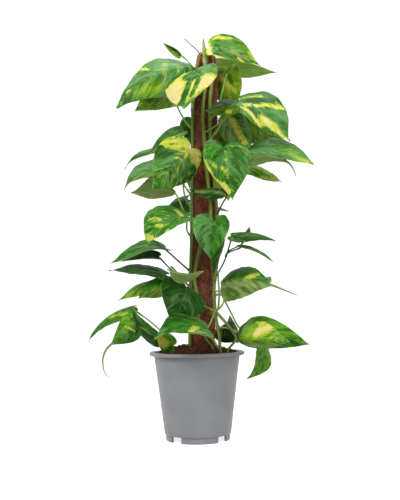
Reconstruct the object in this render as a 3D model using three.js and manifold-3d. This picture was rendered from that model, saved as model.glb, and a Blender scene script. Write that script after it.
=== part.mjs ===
// Potted scindapsus: four climbing stems on a coir pole, with heart-shaped
// leaves, in a round grey nursery pot. Millimetres, +Z up, the origin on the
// floor at the pot's axis, -Y towards the viewer.
import * as THREE from 'three';
import { mergeVertices } from 'three/addons/utils/BufferGeometryUtils.js';
import Module from 'manifold-3d';

const wasm = await Module();
wasm.setup();

// Pot
const POT_HEIGHT = 136;
const RIM_RADIUS = 75;
const RIM_SKIRT = 5;
const WALL_TOP_RADIUS = 68;
const WALL_FOOT_RADIUS = 51;
const WALL = 1.5;
const FLOOR_UNDERSIDE = 11;
const FOOT_WIDTH = 3.6;
const FOOT_STEP = 0.8;
const NOTCH_WIDTH = 19;
const NOTCH_HEIGHT = 9.6;
const NOTCH_TURNS = [49, 139];
const DRAIN_RADIUS = 4;
const DRAIN_SIDES = 8;
const DRAIN_RING = 36;
const DRAINS = 6;
const POT_SEGMENTS = 40;

// Soil
const SOIL_EDGE_HEIGHT = 130;
const SOIL_CROWN_HEIGHT = 147;
const SOIL_SEGMENTS = 24;
const STEM_HOLE_FLOOR = 96;

// Climbing pole
const POLE_RADIUS = 19;
const POLE_FLOOR = 24;
const POLE_TOP = 618;
const POLE_OFFSET = 9.7;
const POLE_LEAN = 0.026;
const POLE_SEGMENTS = 16;
const COIL_PITCH = 52;
const COIL_DEPTH = 1.2;
const SLEEVE_TAPER = 4.5;
const CORD_RADIUS = 0.8;
const CORD_END = [[13, -9, 609], [9, -9, 623], [-1, -8, 633], [-13, -8, 645]];
const STAKE_RADIUS = 8;

// Stems and leaves
const STEM_RADIUS = 2.8;
const STEM_SIDES = 6;
const STEM_STEP = 19;
const DRY_SHEATH = { stem: 'right', base: [36, -19, 362], tip: [56, -20, 356.5], width: 4.6 };
const PETIOLE_RADIUS = 1.5;
const PETIOLE_SIDES = 5;
const PETIOLE_STEPS = 5;
const DRIP_RADIUS = 1;
const BLADE_THICKNESS = 1.1;
const BLADE_ROWS = 6;
const BLADE_COLUMNS = 2;
const GAP = 0.35;

const rad = THREE.MathUtils.degToRad;
const vec = (point) => new THREE.Vector3(...point);

// A piece's finish: plastics, bark, fibre and leaf all lack metal.
const finish = (color, roughness) => new THREE.MeshStandardMaterial({ color, roughness, metalness: 0 });
const GREY_PLASTIC = finish(0x85868a, 0.5);
const POTTING_SOIL = finish(0x3a2519, 0.95);
const COIR = finish(0x6b3a26, 0.95);
const STAKE_WOOD = finish(0xa88760, 0.8);
const STEM_GREEN = finish(0x6f8f3a, 0.55);
const LEAF_GREEN = finish(0x3f7a2a, 0.4);
const LEAF_YELLOW = finish(0xc9cc5a, 0.4);

// Solids

function solidFrom(geometry) {
  const bare = geometry.clone();
  bare.deleteAttribute('normal');
  bare.deleteAttribute('uv');
  const merged = mergeVertices(bare, 1e-4);
  const position = merged.attributes.position;
  const corners = [];
  let volume = 0;
  for (let i = 0; i < merged.index.count; i += 3) {
    const [a, b, c] = [0, 1, 2].map((k) => merged.index.getX(i + k));
    if (a === b || b === c || c === a) continue;
    corners.push([a, b, c]);
    const [p, q, r] = [a, b, c].map((k) => new THREE.Vector3().fromBufferAttribute(position, k));
    volume += p.dot(q.cross(r));
  }
  const faces = volume < 0 ? corners.map(([a, b, c]) => [a, c, b]) : corners;
  return new wasm.Manifold(new wasm.Mesh({
    numProp: 3,
    vertProperties: Float32Array.from(position.array),
    triVerts: Uint32Array.from(faces.flat()),
  }));
}

function geometryFrom(solid) {
  const { vertProperties, triVerts } = solid.getMesh();
  const geometry = new THREE.BufferGeometry();
  geometry.setAttribute('position', new THREE.BufferAttribute(vertProperties, 3));
  geometry.setIndex(new THREE.BufferAttribute(triVerts, 1));
  geometry.computeVertexNormals();
  return geometry;
}

function revolve(profile, segments) {
  const points = profile.map(([radius, height]) => new THREE.Vector2(radius, height));
  return new THREE.LatheGeometry(points, segments).rotateX(rad(90));
}

function roundSection(radius, sides) {
  const corners = Array.from({ length: sides }, (_, i) => {
    const angle = (2 * Math.PI * i) / sides;
    return new THREE.Vector2(radius * Math.cos(angle), radius * Math.sin(angle));
  });
  return new THREE.Shape(corners);
}

function tube(path, radius, sides, steps) {
  const geometry = new THREE.ExtrudeGeometry(roundSection(radius, sides), {
    steps,
    bevelEnabled: false,
    extrudePath: path,
  });
  return solidFrom(geometry);
}

// Pot: a tapered wall on a ring of four feet, with a turned-down rim

const wallRadius = (height) =>
  WALL_FOOT_RADIUS + ((WALL_TOP_RADIUS - WALL_FOOT_RADIUS) * height) / (POT_HEIGHT - RIM_SKIRT);

function potSolid() {
  const floorTop = FLOOR_UNDERSIDE + WALL;
  const footRadius = wallRadius(0) - FOOT_STEP;
  const top = POT_HEIGHT;
  const shell = solidFrom(revolve([
    [0, FLOOR_UNDERSIDE],
    [footRadius - FOOT_WIDTH, FLOOR_UNDERSIDE],
    [footRadius - FOOT_WIDTH, 0],
    [footRadius, 0],
    [footRadius + 0.2, NOTCH_HEIGHT - 0.6],
    [wallRadius(NOTCH_HEIGHT), NOTCH_HEIGHT],
    [wallRadius(top - 1.6), top - 1.6],
    [RIM_RADIUS - 1.6, top - 1.6],
    [RIM_RADIUS - 1.4, top - RIM_SKIRT],
    [RIM_RADIUS - 0.2, top - RIM_SKIRT],
    [RIM_RADIUS, top - 1.2],
    [RIM_RADIUS - 1, top],
    [wallRadius(top) - WALL + 0.6, top],
    [wallRadius(top - 2) - WALL, top - 2],
    [wallRadius(floorTop) - WALL, floorTop],
    [0, floorTop],
  ], POT_SEGMENTS));
  const cuts = NOTCH_TURNS.map((turn) => {
    const bar = new THREE.BoxGeometry(2 * RIM_RADIUS, NOTCH_WIDTH, 2 * NOTCH_HEIGHT);
    return solidFrom(bar.rotateZ(rad(turn)));
  });
  for (let i = 0; i < DRAINS; i += 1) {
    const turn = (2 * Math.PI * i) / DRAINS;
    const drill = new THREE.CylinderGeometry(DRAIN_RADIUS, DRAIN_RADIUS, 4 * WALL, DRAIN_SIDES);
    drill.rotateX(rad(90));
    drill.translate(DRAIN_RING * Math.cos(turn), DRAIN_RING * Math.sin(turn), FLOOR_UNDERSIDE + WALL / 2);
    cuts.push(solidFrom(drill));
  }
  return cuts.reduce((solid, cut) => solid.subtract(cut), shell);
}

// Pole: a pointed stake in a coir sleeve, both leaning a little to +X

const poleAxis = (height) => POLE_OFFSET + POLE_LEAN * (height - POT_HEIGHT);

function leaning(geometry) {
  const position = geometry.attributes.position;
  for (let i = 0; i < position.count; i += 1) {
    position.setX(i, position.getX(i) + poleAxis(position.getZ(i)));
  }
  return geometry;
}

function stakeSolid() {
  return solidFrom(leaning(revolve([
    [0, POLE_FLOOR - 6],
    [STAKE_RADIUS - 0.5, POLE_FLOOR + 12],
    [STAKE_RADIUS, POLE_FLOOR + 16],
    [STAKE_RADIUS, POLE_TOP + 3],
    [STAKE_RADIUS - 1, POLE_TOP + 4],
    [0, POLE_TOP + 4],
  ], 12)));
}

// The sleeve's fibre is wound round with cord, which draws it in at each turn
// and ends in a loose length at the top, where the sleeve narrows.
function sleeveSolid() {
  const bore = STAKE_RADIUS + GAP;
  const rings = Math.round((POLE_TOP - POLE_FLOOR) / (COIL_PITCH / 2));
  const outside = Array.from({ length: rings + 1 }, (_, i) => {
    const height = POLE_FLOOR + ((POLE_TOP - POLE_FLOOR) * i) / rings;
    return [i < rings ? POLE_RADIUS : POLE_RADIUS - SLEEVE_TAPER, height];
  });
  const section = [[bore, POLE_FLOOR], ...outside, [bore, POLE_TOP], [bore, POLE_FLOOR]];
  const geometry = revolve(section, POLE_SEGMENTS);
  const position = geometry.attributes.position;
  for (let i = 0; i < position.count; i += 1) {
    const [x, y, z] = [position.getX(i), position.getY(i), position.getZ(i)];
    if (Math.hypot(x, y) < bore + 1) continue;
    const winding = Math.atan2(y, x) + (2 * Math.PI * z) / COIL_PITCH;
    const shrink = 1 - (COIL_DEPTH * (0.5 + 0.5 * Math.cos(winding))) / POLE_RADIUS;
    position.setXY(i, x * shrink, y * shrink);
  }
  const cordEnd = new THREE.CatmullRomCurve3(CORD_END.map(vec));
  return solidFrom(leaning(geometry)).add(tube(cordEnd, CORD_RADIUS, 4, 4));
}

// Stems: routes through points that follow the pole, from the soil to the tip

const STEMS = {
  left: [
    [-12, -12, 104], [-11, -12, 144], [-10, -11, 180], [-9, -10, 217], [-8, -10, 265],
    [-6, -10, 310], [-5, -10, 354], [-4, -10, 403], [-2, -10, 476], [-1, -10, 534], [2, -13, 578],
    [9, -20, 600], [13, -22, 617],
  ],
  front: [
    [28, -43, 104], [25, -42, 142], [19, -40, 151], [13, -38, 161], [4, -34, 186], [1, -29, 228],
    [-2, -27, 248], [0, -28, 267], [8, -28, 300], [19, -28, 327], [25, -27, 355], [22, -26, 398],
    [19, -26, 431], [16, -26, 487], [15, -26, 515], [17, -26, 540], [20, -25, 558],
    [22, -24.5, 572], [21, -26, 588],
  ],
  right: [
    [38, -46, 104], [36, -46, 139], [34, -46, 163], [31, -44, 186], [29, -40, 203], [28, -32, 229],
    [30, -28, 251], [33, -24, 276], [35, -20, 311], [35, -18, 351], [33, -19, 390], [30, -20, 432],
    [26, -24, 480], [27, -26, 536], [31, -24, 570], [32, -22, 606],
  ],
  back: [
    [14, 32, 104], [13, 30, 146], [8, 26, 200], [15, 26, 260], [19, 25, 320], [13, 25, 390],
    [20, 25, 460], [24, 24, 520], [19, 26, 588],
  ],
  arch: [
    [45, -36, 104], [48, -38, 138], [60, -47, 155], [57, -50, 166], [47, -54, 179], [32, -55, 196],
    [21, -56, 203], [12, -59, 208],
  ],
};

function stemPath(name) {
  return new THREE.CatmullRomCurve3(STEMS[name].map(vec), false, 'catmullrom', 0.5);
}

function stemSolid(name, extra = 0) {
  const points = STEMS[name];
  const steps = Math.round((points.at(-1)[2] - points[0][2]) / STEM_STEP);
  return tube(stemPath(name), STEM_RADIUS + extra, STEM_SIDES, steps);
}

// The stem's centre at a height, found by halving.
function stemCentre(name, height) {
  const path = stemPath(name);
  let [low, high] = [0, 1];
  for (let i = 0; i < 24; i += 1) {
    const middle = (low + high) / 2;
    if (path.getPoint(middle).z < height) low = middle;
    else high = middle;
  }
  return path.getPoint(low);
}

// Leaf blade: a heart-shaped outline laid along a curved midrib

// Half outline from the stalk's notch to the tip: share of the length along
// the midrib, and of the length across.
const HALF_OUTLINE = new THREE.SplineCurve([
  [0, 0], [-0.08, 0.05], [-0.135, 0.16], [-0.09, 0.3], [0.08, 0.41], [0.3, 0.43],
  [0.54, 0.34], [0.76, 0.18], [0.9, 0.065], [1, 0],
].map(([along, across]) => new THREE.Vector2(along, across)));
const OUTLINE_HALF_WIDTH = 0.43;

function leafFrame(leaf) {
  const base = vec(leaf.base);
  const tip = vec(leaf.tip);
  const chord = tip.clone().sub(base);
  const length = chord.length();
  const along = chord.clone().normalize();
  const facing = vec(leaf.faces);
  facing.addScaledVector(along, -facing.dot(along)).normalize();
  const lift = (share) => facing.clone().multiplyScalar((share * length * 4) / 3);
  const [rise, fall] = leaf.arch ?? [0.1, 0.06];
  const midrib = new THREE.CubicBezierCurve3(
    base,
    base.clone().addScaledVector(along, length / 3).add(lift(rise)),
    tip.clone().addScaledVector(along, -length / 3).add(lift(fall)),
    tip,
  );
  const frameAt = (share) => {
    const place = THREE.MathUtils.clamp(share, 0, 1);
    const tangent = midrib.getTangent(place);
    const normal = facing.clone().addScaledVector(tangent, -facing.dot(tangent)).normalize();
    const side = new THREE.Vector3().crossVectors(tangent, normal);
    const point = midrib.getPoint(place);
    if (share < 0) point.addScaledVector(tangent, share * length);
    return { point, tangent, normal, side };
  };
  return { length, frameAt };
}

// A point of the blade's middle surface, and the way its thickness points.
// Each half is turned up or down at the midrib by its fold and rolls on from
// there, and the margin ripples.
function bladePoint(leaf, frame, along, across, hand, edge) {
  const { point, normal, side } = frame.frameAt(along);
  const halfWidth = leaf.width / 2;
  const share = (leaf.halves ?? [1, 1])[hand < 0 ? 0 : 1];
  const reach = (across / OUTLINE_HALF_WIDTH) * halfWidth * share;
  const fold = rad((leaf.fold ?? [6, 6])[hand < 0 ? 0 : 1]);
  const roll = -rad(leaf.roll ?? 14) / halfWidth;
  const turn = fold + roll * reach;
  const out = (Math.sin(turn) - Math.sin(fold)) / roll;
  const ripple = (leaf.width / 50) * edge * edge * Math.sin(9 * along + 1.7 * hand + leaf.width);
  const up = (Math.cos(fold) - Math.cos(turn)) / roll + ripple;
  const ease = Math.min(1, reach / 4) / 2;
  const thick = normal.clone().multiplyScalar(1 - ease + ease * Math.cos(turn));
  thick.addScaledVector(side, -hand * ease * Math.sin(turn)).normalize();
  point.addScaledVector(side, hand * out).addScaledVector(normal, up);
  return { point, thick };
}

function bladeSolid(leaf, frame) {
  const upper = [];
  const lower = [];
  const index = [];
  for (let row = 0; row <= BLADE_ROWS; row += 1) {
    const share = row / BLADE_ROWS;
    const pointed = row === 0 || row === BLADE_ROWS;
    const edgePoint = HALF_OUTLINE.getPointAt(share);
    if (edgePoint.x < 0) edgePoint.x *= leaf.lobes ?? 1;
    const rib = share ** 1.4;
    index.push([]);
    for (let column = -BLADE_COLUMNS; column <= BLADE_COLUMNS; column += 1) {
      if (pointed && column > -BLADE_COLUMNS) {
        index[row].push(index[row][0]);
        continue;
      }
      const edge = pointed ? 0 : Math.abs(column) / BLADE_COLUMNS;
      const along = rib + (edgePoint.x - rib) * edge;
      const hand = Math.sign(column) || 1;
      const { point, thick } = bladePoint(leaf, frame, along, edgePoint.y * edge, hand, edge);
      index[row].push(upper.length);
      upper.push(point.clone().addScaledVector(thick, BLADE_THICKNESS / 2));
      lower.push(point.clone().addScaledVector(thick, -BLADE_THICKNESS / 2));
    }
  }
  const count = upper.length;
  const faces = [];
  const last = 2 * BLADE_COLUMNS;
  for (let row = 0; row < BLADE_ROWS; row += 1) {
    for (let column = 0; column < last; column += 1) {
      const [a, b] = [index[row][column], index[row][column + 1]];
      const [c, d] = [index[row + 1][column], index[row + 1][column + 1]];
      faces.push([a, b, c], [b, d, c]);
      faces.push([a + count, c + count, b + count], [b + count, c + count, d + count]);
    }
    const [left, leftNext] = [index[row][0], index[row + 1][0]];
    const [right, rightNext] = [index[row][last], index[row + 1][last]];
    faces.push([left, leftNext, left + count], [leftNext, leftNext + count, left + count]);
    faces.push([right, right + count, rightNext], [rightNext, right + count, rightNext + count]);
  }
  const geometry = new THREE.BufferGeometry().setFromPoints([...upper, ...lower]);
  geometry.setIndex(faces.flat());
  return solidFrom(geometry);
}

// Leaf stalk: from a stem's centre, or a root in the soil, up to the blade

function petiolePath(leaf, frame) {
  const { point: base, tangent, normal } = frame.frameAt(0);
  const end = base.clone().addScaledVector(tangent, 5).addScaledVector(normal, -0.4);
  const start = leaf.from ? vec(leaf.from) : stemCentre(leaf.stem, leaf.node);
  if (leaf.via) {
    return new THREE.CatmullRomCurve3([start, ...leaf.via.map(vec), base, end], false, 'catmullrom', 0.5);
  }
  const reach = start.distanceTo(base);
  const outward = new THREE.Vector3(0, 0, 1);
  if (leaf.stem) {
    const away = new THREE.Vector3(start.x - poleAxis(start.z), start.y, 0).normalize();
    outward.multiplyScalar(0.7).add(away).normalize();
  }
  const arrival = normal.clone().multiplyScalar(0.8).addScaledVector(tangent, 0.5).normalize();
  return new THREE.CubicBezierCurve3(
    start,
    start.clone().addScaledVector(outward, 0.35 * reach),
    base.clone().addScaledVector(arrival, -0.3 * reach),
    end,
  );
}

function petioleSolid(leaf, frame, extra = 0) {
  const steps = leaf.via ? PETIOLE_STEPS + leaf.via.length : PETIOLE_STEPS;
  return tube(petiolePath(leaf, frame), PETIOLE_RADIUS + extra, PETIOLE_SIDES, steps);
}

// A slim spindle between two points: the young leaf that is still rolled up,
// and the dry sheath an old leaf has left on its stem.
function rolledSolid(leaf) {
  const axis = vec(leaf.tip).sub(vec(leaf.base));
  const length = axis.length();
  const girth = leaf.width / 2;
  const spindle = revolve([
    [0, 0], [girth * 0.7, length * 0.02], [girth, length * 0.2],
    [girth * 0.8, length * 0.6], [girth * 0.45, length * 0.85], [0, length],
  ], 7);
  const turn = new THREE.Quaternion().setFromUnitVectors(new THREE.Vector3(0, 0, 1), axis.normalize());
  return solidFrom(spindle.applyQuaternion(turn).translate(...leaf.base));
}

// Leaves. base and tip are the ends of the midrib, faces is the way the upper
// side looks, and node is the height at which the stalk leaves its stem; a
// stalk that starts elsewhere has from, and via are points it runs through.
// arch lifts the midrib off its chord at a third and two thirds, as shares of
// the length. For the two halves, fold is the angle each is turned up or down
// at the midrib, halves what its width is multiplied by, and roll the degrees
// it curls by on its way to the margin. lobes stretches the lobes at the
// stalk, and drip draws the tip out into a tail.
// Entries with the same piece share one stalk and are one solid.
const LEAVES = [
  { piece: 'leaf_top_left_large', stem: 'left', node: 545, base: [-4, -33, 590], tip: [-118, -66, 513],
    faces: [-0.07, -0.84, 0.54], width: 92, arch: [0.17, 0.14], fold: [-25, -6], roll: 14, lobes: 0.9,
    halves: [1.08, 0.97] },
  { piece: 'leaf_top_left_under', stem: 'left', node: 492, base: [-27, -8, 549], tip: [-94, -38, 515],
    faces: [0.06, -0.92, 0.39], width: 57, arch: [0.15, 0.07], fold: [7, 15], roll: 3,
    halves: [0.97, 1.12] },
  { piece: 'leaf_top_front_cream', stem: 'left', node: 525, base: [3, -85, 562], tip: [-14, -125, 493],
    faces: [-0.39, -0.79, 0.47], width: 85, arch: [0.07, -0.09], fold: [16, 3], roll: 25, lobes: 0.7,
    halves: [1, 1.12], via: [[0, -34, 528], [4, -68, 541]] },
  { piece: 'leaf_top_left_young', stem: 'back', node: 575, base: [-22, 24, 629], tip: [-51, 32, 655],
    faces: [-0.7, -0.71, -0.11], width: 14, arch: [-0.01, 0.02], fold: [24, 32], roll: 37, lobes: 0.7,
    halves: [0.9, 0.87] },
  { piece: 'leaf_top_rolled', from: [21, -26, 560], base: [20.5, -27, 588.7], tip: [17.6, -29, 637.3],
    width: 7.8, rolled: true },
  { piece: 'leaf_top_right_large', stem: 'right', node: 580, base: [28.3, -37, 620], tip: [105, -63, 578],
    faces: [0.09, -0.95, 0.31], width: 67, arch: [0.16, 0.05], fold: [14, 0], roll: 7, lobes: 0.7,
    halves: [0.75, 0.66] },
  { piece: 'leaf_top_right_under', stem: 'back', node: 555, base: [41.5, 27, 611], tip: [139.5, 9, 592],
    faces: [-0.53, 0.51, 0.68], width: 38, arch: [-0.02, -0.02], fold: [-2, 2], roll: 18, lobes: 1.1,
    halves: [0.91, 0.99] },
  { piece: 'leaf_upper_right_hanging', stem: 'back', node: 525, base: [55, -6, 586], tip: [76, 21, 527],
    faces: [-0.69, -0.71, 0.16], width: 60, arch: [0.22, 0.22], fold: [-6, -3], roll: 7, lobes: 1.7,
    halves: [1.01, 1.09] },
  { piece: 'leaf_right_large', stem: 'right', node: 502, base: [76, -32, 534], tip: [146, -78, 455],
    faces: [0.61, -0.75, 0.27], width: 91, arch: [0.15, -0.04], fold: [14, -11], roll: 5, lobes: 1.4,
    halves: [1.13, 0.84] },
  { piece: 'leaf_front_small_dark', stem: 'front', node: 482, base: [64, -75, 513], tip: [19, -80, 503],
    faces: [0.13, -0.94, 0.31], width: 39, arch: [0.11, -0.1], fold: [-12, -14], roll: 29, lobes: 1.3,
    halves: [0.83, 1.04], via: [[36, -50, 488], [54, -68, 498]] },
  { piece: 'leaf_right_striped', stem: 'right', node: 470, base: [64, -32, 510], tip: [88, -46, 451],
    faces: [0.03, -0.86, 0.5], width: 62, arch: [-0.07, -0.1], fold: [-17, -13], roll: 38,
    halves: [0.98, 1.04], lobes: 0.8 },
  { piece: 'leaf_right_shaded', stem: 'back', node: 494, base: [77, 14, 526], tip: [150, 24, 482],
    faces: [-0.29, -0.76, 0.58], width: 78, arch: [0.07, -0.01], fold: [-26, -26], roll: 17, lobes: 0.8,
    halves: [0.89, 1.11] },
  { piece: 'leaf_right_far', stem: 'right', node: 430, base: [88, -34, 453], tip: [177, -108, 411],
    faces: [0.05, -0.79, 0.61], width: 65, arch: [0.11, 0.05], fold: [9, 17], roll: 21,
    halves: [1.08, 0.95] },
  { piece: 'leaf_right_far_under', stem: 'back', node: 445, base: [92, 2, 444], tip: [155, -4, 435],
    faces: [0.02, 0.32, 0.95], width: 43, arch: [0.2, 0.17], fold: [8, 15], roll: 27, halves: [1.02, 1.03],
    drip: [[160, -4, 427], [164, -6, 415]] },
  { piece: 'leaf_right_narrow', stem: 'back', node: 362, base: [88, 34, 440], tip: [142, -2, 406],
    faces: [0.25, -0.72, 0.65], width: 47, arch: [0.1, -0.04], fold: [-8, -9], roll: 20, lobes: 1.1,
    halves: [1, 0.83] },
  { piece: 'leaf_front_heart', stem: 'right', node: 395, base: [45, -88, 444], tip: [56, -112, 361],
    faces: [-0.06, -0.79, 0.61], width: 70, arch: [0.09, -0.04], fold: [9, 30], roll: 23, lobes: 0.9,
    halves: [1.04, 1] },
  { piece: 'leaf_left_front_yellow', stem: 'left', node: 365, base: [-7, -62, 447], tip: [-61, -108, 380],
    faces: [0.15, -0.99, 0.04], width: 93, arch: [0.06, -0.05], fold: [-25, 1], roll: 21, lobes: 1.6,
    halves: [0.83, 0.84] },
  { piece: 'leaf_left_upper_narrow', stem: 'left', node: 455, base: [-19, -20, 486], tip: [-73, -36, 445],
    faces: [-0.09, -0.97, 0.21], width: 31, arch: [0.11, 0.06], fold: [26, 16], roll: 20, lobes: 0.9,
    halves: [0.65, 0.92] },
  { piece: 'leaf_left_back_narrow', stem: 'back', node: 430, base: [-42, 30, 478], tip: [-116, 30, 438],
    faces: [-0.47, -0.67, 0.57], width: 32, arch: [0.03, 0.2], fold: [12, 0], roll: 36,
    halves: [0.86, 0.89] },
  { piece: 'leaf_left_middle_folded', stem: 'left', node: 385, base: [-39, 0, 442], tip: [-112, -24, 393],
    faces: [-0.63, -0.66, 0.41], width: 58, arch: [-0.02, 0.17], fold: [9, 24], roll: 23, lobes: 1.1,
    halves: [0.96, 1] },
  { piece: 'leaf_left_pale_under', stem: 'left', node: 342, base: [-37, 14, 400], tip: [-103, -12, 390],
    faces: [-0.8, 0.49, 0.34], width: 55, arch: [0.05, -0.1], fold: [17, 30], roll: 8, lobes: 0.7,
    halves: [1.01, 0.75] },
  { piece: 'leaf_left_variegated', stem: 'left', node: 318, base: [-11, -58, 344], tip: [-73, -92, 296],
    faces: [-0.47, -0.7, 0.54], width: 88, arch: [0.2, 0.17], fold: [8, 12], roll: 10, lobes: 1.5,
    halves: [0.87, 1.13] },
  { piece: 'leaf_left_dark_back', stem: 'back', node: 350, base: [-13, 26, 386], tip: [-46, 68, 378],
    faces: [-0.1, -0.85, 0.52], width: 50, arch: [-0.02, 0.13], fold: [-26, -8], roll: 30, lobes: 0.9,
    halves: [1.06, 0.92] },
  { piece: 'leaf_left_low_long', stem: 'left', node: 262, base: [-51, -14, 301], tip: [-132, -38, 276],
    faces: [0.08, -0.5, 0.86], width: 56, arch: [0.19, -0.01], fold: [20, 2], roll: 10, lobes: 0.8,
    via: [[-28, -12, 280]] },
  { piece: 'leaf_left_low_dark', stem: 'left', node: 238, base: [-61, 12, 289], tip: [-123, 16, 281],
    faces: [0.02, -0.87, 0.5], width: 26, arch: [0.17, 0.08], fold: [27, 18], roll: 9, lobes: 0.6,
    halves: [0.77, 0.75], via: [[-26, 6, 252], [-43, 12, 270]] },
  { piece: 'leaf_left_level', stem: 'left', node: 222, base: [-53, -14, 260], tip: [-136, -24, 265],
    faces: [0, -0.42, 0.91], width: 51, arch: [0.11, 0.03], fold: [5, 4], roll: 18, lobes: 1.1,
    via: [[-30, -12, 244]] },
  { piece: 'leaf_front_young_fold', stem: 'left', node: 236, base: [-34, -76, 261], tip: [12, -84, 259],
    faces: [0.42, 0.34, 0.84], width: 36, arch: [-0.1, -0.11], fold: [-12, -26], roll: 16,
    halves: [1.13, 0.91], via: [[-36, -38, 268]] },
  { piece: 'leaf_front_bridge', stem: 'right', node: 351, base: [46, -46, 387], tip: [-10, -58, 387],
    faces: [-0.07, -0.8, 0.59], width: 40, arch: [0.11, -0.11], fold: [-32, -30], roll: 41, lobes: 0.6,
    halves: [0.85, 0.9], via: [[42, -37, 364], [50, -46, 378]] },
  { piece: 'leaf_front_middle', stem: 'front', node: 300, base: [28, -88, 332], tip: [23, -108, 273],
    faces: [-0.17, -0.87, 0.45], width: 56, arch: [0.13, 0.1], fold: [18, 32], roll: 16, lobes: 1.4,
    halves: [0.95, 1.05] },
  { piece: 'leaf_right_hanging_dark', stem: 'right', node: 268, base: [44, -46, 307], tip: [26, -50, 255],
    faces: [0.89, -0.45, 0.09], width: 40, arch: [0.04, -0.02], fold: [-12, -2], roll: 36,
    halves: [1.01, 1.09] },
  { piece: 'shoot_right', stem: 'right', node: 250, base: [59, -18, 317], tip: [124, -46, 306],
    faces: [0.51, -0.76, 0.41], width: 32, arch: [-0, 0.07], fold: [3, 17], roll: 24, lobes: 0.6,
    halves: [0.89, 0.93], via: [[40, -28, 267], [48, -24, 284]] },
  { piece: 'shoot_right', from: [48, -24, 284], base: [75, 4, 312], tip: [90, 20, 337],
    faces: [-0.88, -0.38, 0.29], width: 31, arch: [-0.04, 0.05], fold: [3, 5], roll: 11, lobes: 0.7,
    halves: [0.71, 1.09] },
  { piece: 'shoot_right', from: [48, -24, 284], base: [68, -22, 300], tip: [120, -46, 273],
    faces: [0.75, -0.59, 0.3], width: 27, arch: [0.06, 0.07], fold: [12, 26], roll: 21, lobes: 0.6,
    halves: [0.9, 0.72] },
  { piece: 'leaf_right_low_large', stem: 'right', node: 199, base: [40, -44, 241], tip: [118, -80, 235],
    faces: [0.04, -0.74, 0.68], width: 73, arch: [0.2, 0.1], fold: [-4, -35], roll: 15, lobes: 0.7,
    halves: [1.09, 0.92], via: [[38, -50, 206], [43, -49, 217]], drip: [[134, -84, 228], [149, -88, 221]] },
  { piece: 'leaf_low_right_large', stem: 'right', node: 224, base: [75, -30, 169], tip: [171, -54, 147],
    faces: [-0.05, -0.9, 0.43], width: 65, arch: [0.21, 0.02], fold: [0, -8], roll: 34, lobes: 0.5,
    halves: [0.9, 0.84], via: [[40, -36, 224], [48, -37, 208], [57, -36, 190], [65, -34, 175]] },
  { piece: 'leaf_low_right_cream', stem: 'arch', node: 166, base: [64, -80, 160], tip: [133, -112, 155],
    faces: [0.06, -0.99, -0.09], width: 64, arch: [0.13, 0.01], fold: [-20, -40], roll: 41,
    halves: [1.13, 1.04] },
  { piece: 'leaf_low_right_drooping', stem: 'right', node: 175, base: [106, 4, 142], tip: [78, -14, 93],
    faces: [0.87, -0.34, 0.35], width: 44, arch: [0.18, 0.18], fold: [15, 7], roll: 14, lobes: 0.9,
    halves: [1.03, 1], via: [[50, -20, 172], [84, 2, 158]] },
  { piece: 'leaf_low_left_large', stem: 'left', node: 198, base: [-14, -53, 237], tip: [-38, -66, 181],
    faces: [0.44, -0.84, 0.32], width: 70, arch: [0.22, 0.17], fold: [-9, 4], roll: 4, lobes: 0.5,
    halves: [1.14, 1.15] },
  { piece: 'leaf_low_left_front', stem: 'arch', node: 199, base: [16, -88, 174], tip: [-59, -122, 161],
    faces: [-0.25, -0.52, 0.82], width: 64, arch: [0.16, 0.22], fold: [-7, 13], roll: 18, lobes: 0.7,
    halves: [0.78, 1.1] },
  { piece: 'leaf_low_left_bright', stem: 'left', node: 184, base: [-61, 8, 249], tip: [-124, -10, 217],
    faces: [-0.12, -0.75, 0.65], width: 39, arch: [0.12, 0.06], fold: [1, -19], roll: 26,
    halves: [0.93, 1.03] },
  { piece: 'leaf_low_left_olive', stem: 'left', node: 170, base: [-50, -22, 246], tip: [-90, -32, 220],
    faces: [-0.14, -0.89, 0.44], width: 38, arch: [0.04, 0.13], fold: [-8, 3], roll: 28,
    halves: [1.06, 0.83] },
  { piece: 'shoot_low_left', from: [-35, -36, 124], base: [-101, 8, 208], tip: [-177, 28, 152],
    faces: [-0.43, -0.5, 0.75], width: 43, arch: [0.14, 0.14], fold: [-5, -13], roll: 35, lobes: 0.5,
    halves: [0.92, 0.98] },
  { piece: 'shoot_low_left', from: [-35, -36, 124], base: [-93, -42, 184], tip: [-130, -56, 151],
    faces: [0.48, -0.87, -0.05], width: 45, arch: [0.17, 0.1], fold: [0, -18], roll: 11, lobes: 0.6,
    halves: [0.94, 0.86],
    drip: [[-137, -57, 143], [-141, -58, 132], [-141, -58, 120], [-138, -58, 109], [-131, -57, 102]] },
  { piece: 'shoot_low_left', from: [-35, -36, 124], base: [-59, -28, 155], tip: [-99, -20, 208],
    faces: [-0.84, -0.49, 0.22], width: 35, arch: [0.09, 0.18], fold: [10, 11], roll: 15, lobes: 0.9,
    halves: [0.98, 0.96] },
  { piece: 'shoot_low_left', from: [-35, -36, 124], base: [-36, -42, 149], tip: [-60, -66, 162],
    faces: [0.38, -0.92, 0.08], width: 30, arch: [-0.02, 0.03], fold: [-15, -1], roll: 31, lobes: 1.3,
    halves: [1.07, 0.99] },
  { piece: 'leaf_low_right_shade', from: [38, 8, 124], base: [49, 13, 178], tip: [67, 27, 147],
    faces: [0.53, -0.83, 0.15], width: 52, arch: [-0.08, 0.17], fold: [-10, -10], roll: 38, lobes: 0.5,
    halves: [1.0, 1.05] },
  { piece: 'leaf_back_top', stem: 'back', node: 540, base: [16, 50, 606], tip: [24, 124, 574],
    faces: [0, 0.5, 0.87], width: 72, arch: [0.12, 0.08] },
  { piece: 'leaf_back_upper_left', stem: 'back', node: 452, base: [0, 34, 520], tip: [0, 40, 473],
    faces: [-0.05, -0.92, 0.4], width: 46, arch: [0.19, 0.11], fold: [14, 14], roll: 8,
    halves: [1.07, 1.01] },
  { piece: 'leaf_back_upper_right', stem: 'back', node: 475, base: [38, 46, 510], tip: [56, 56, 470],
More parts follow.
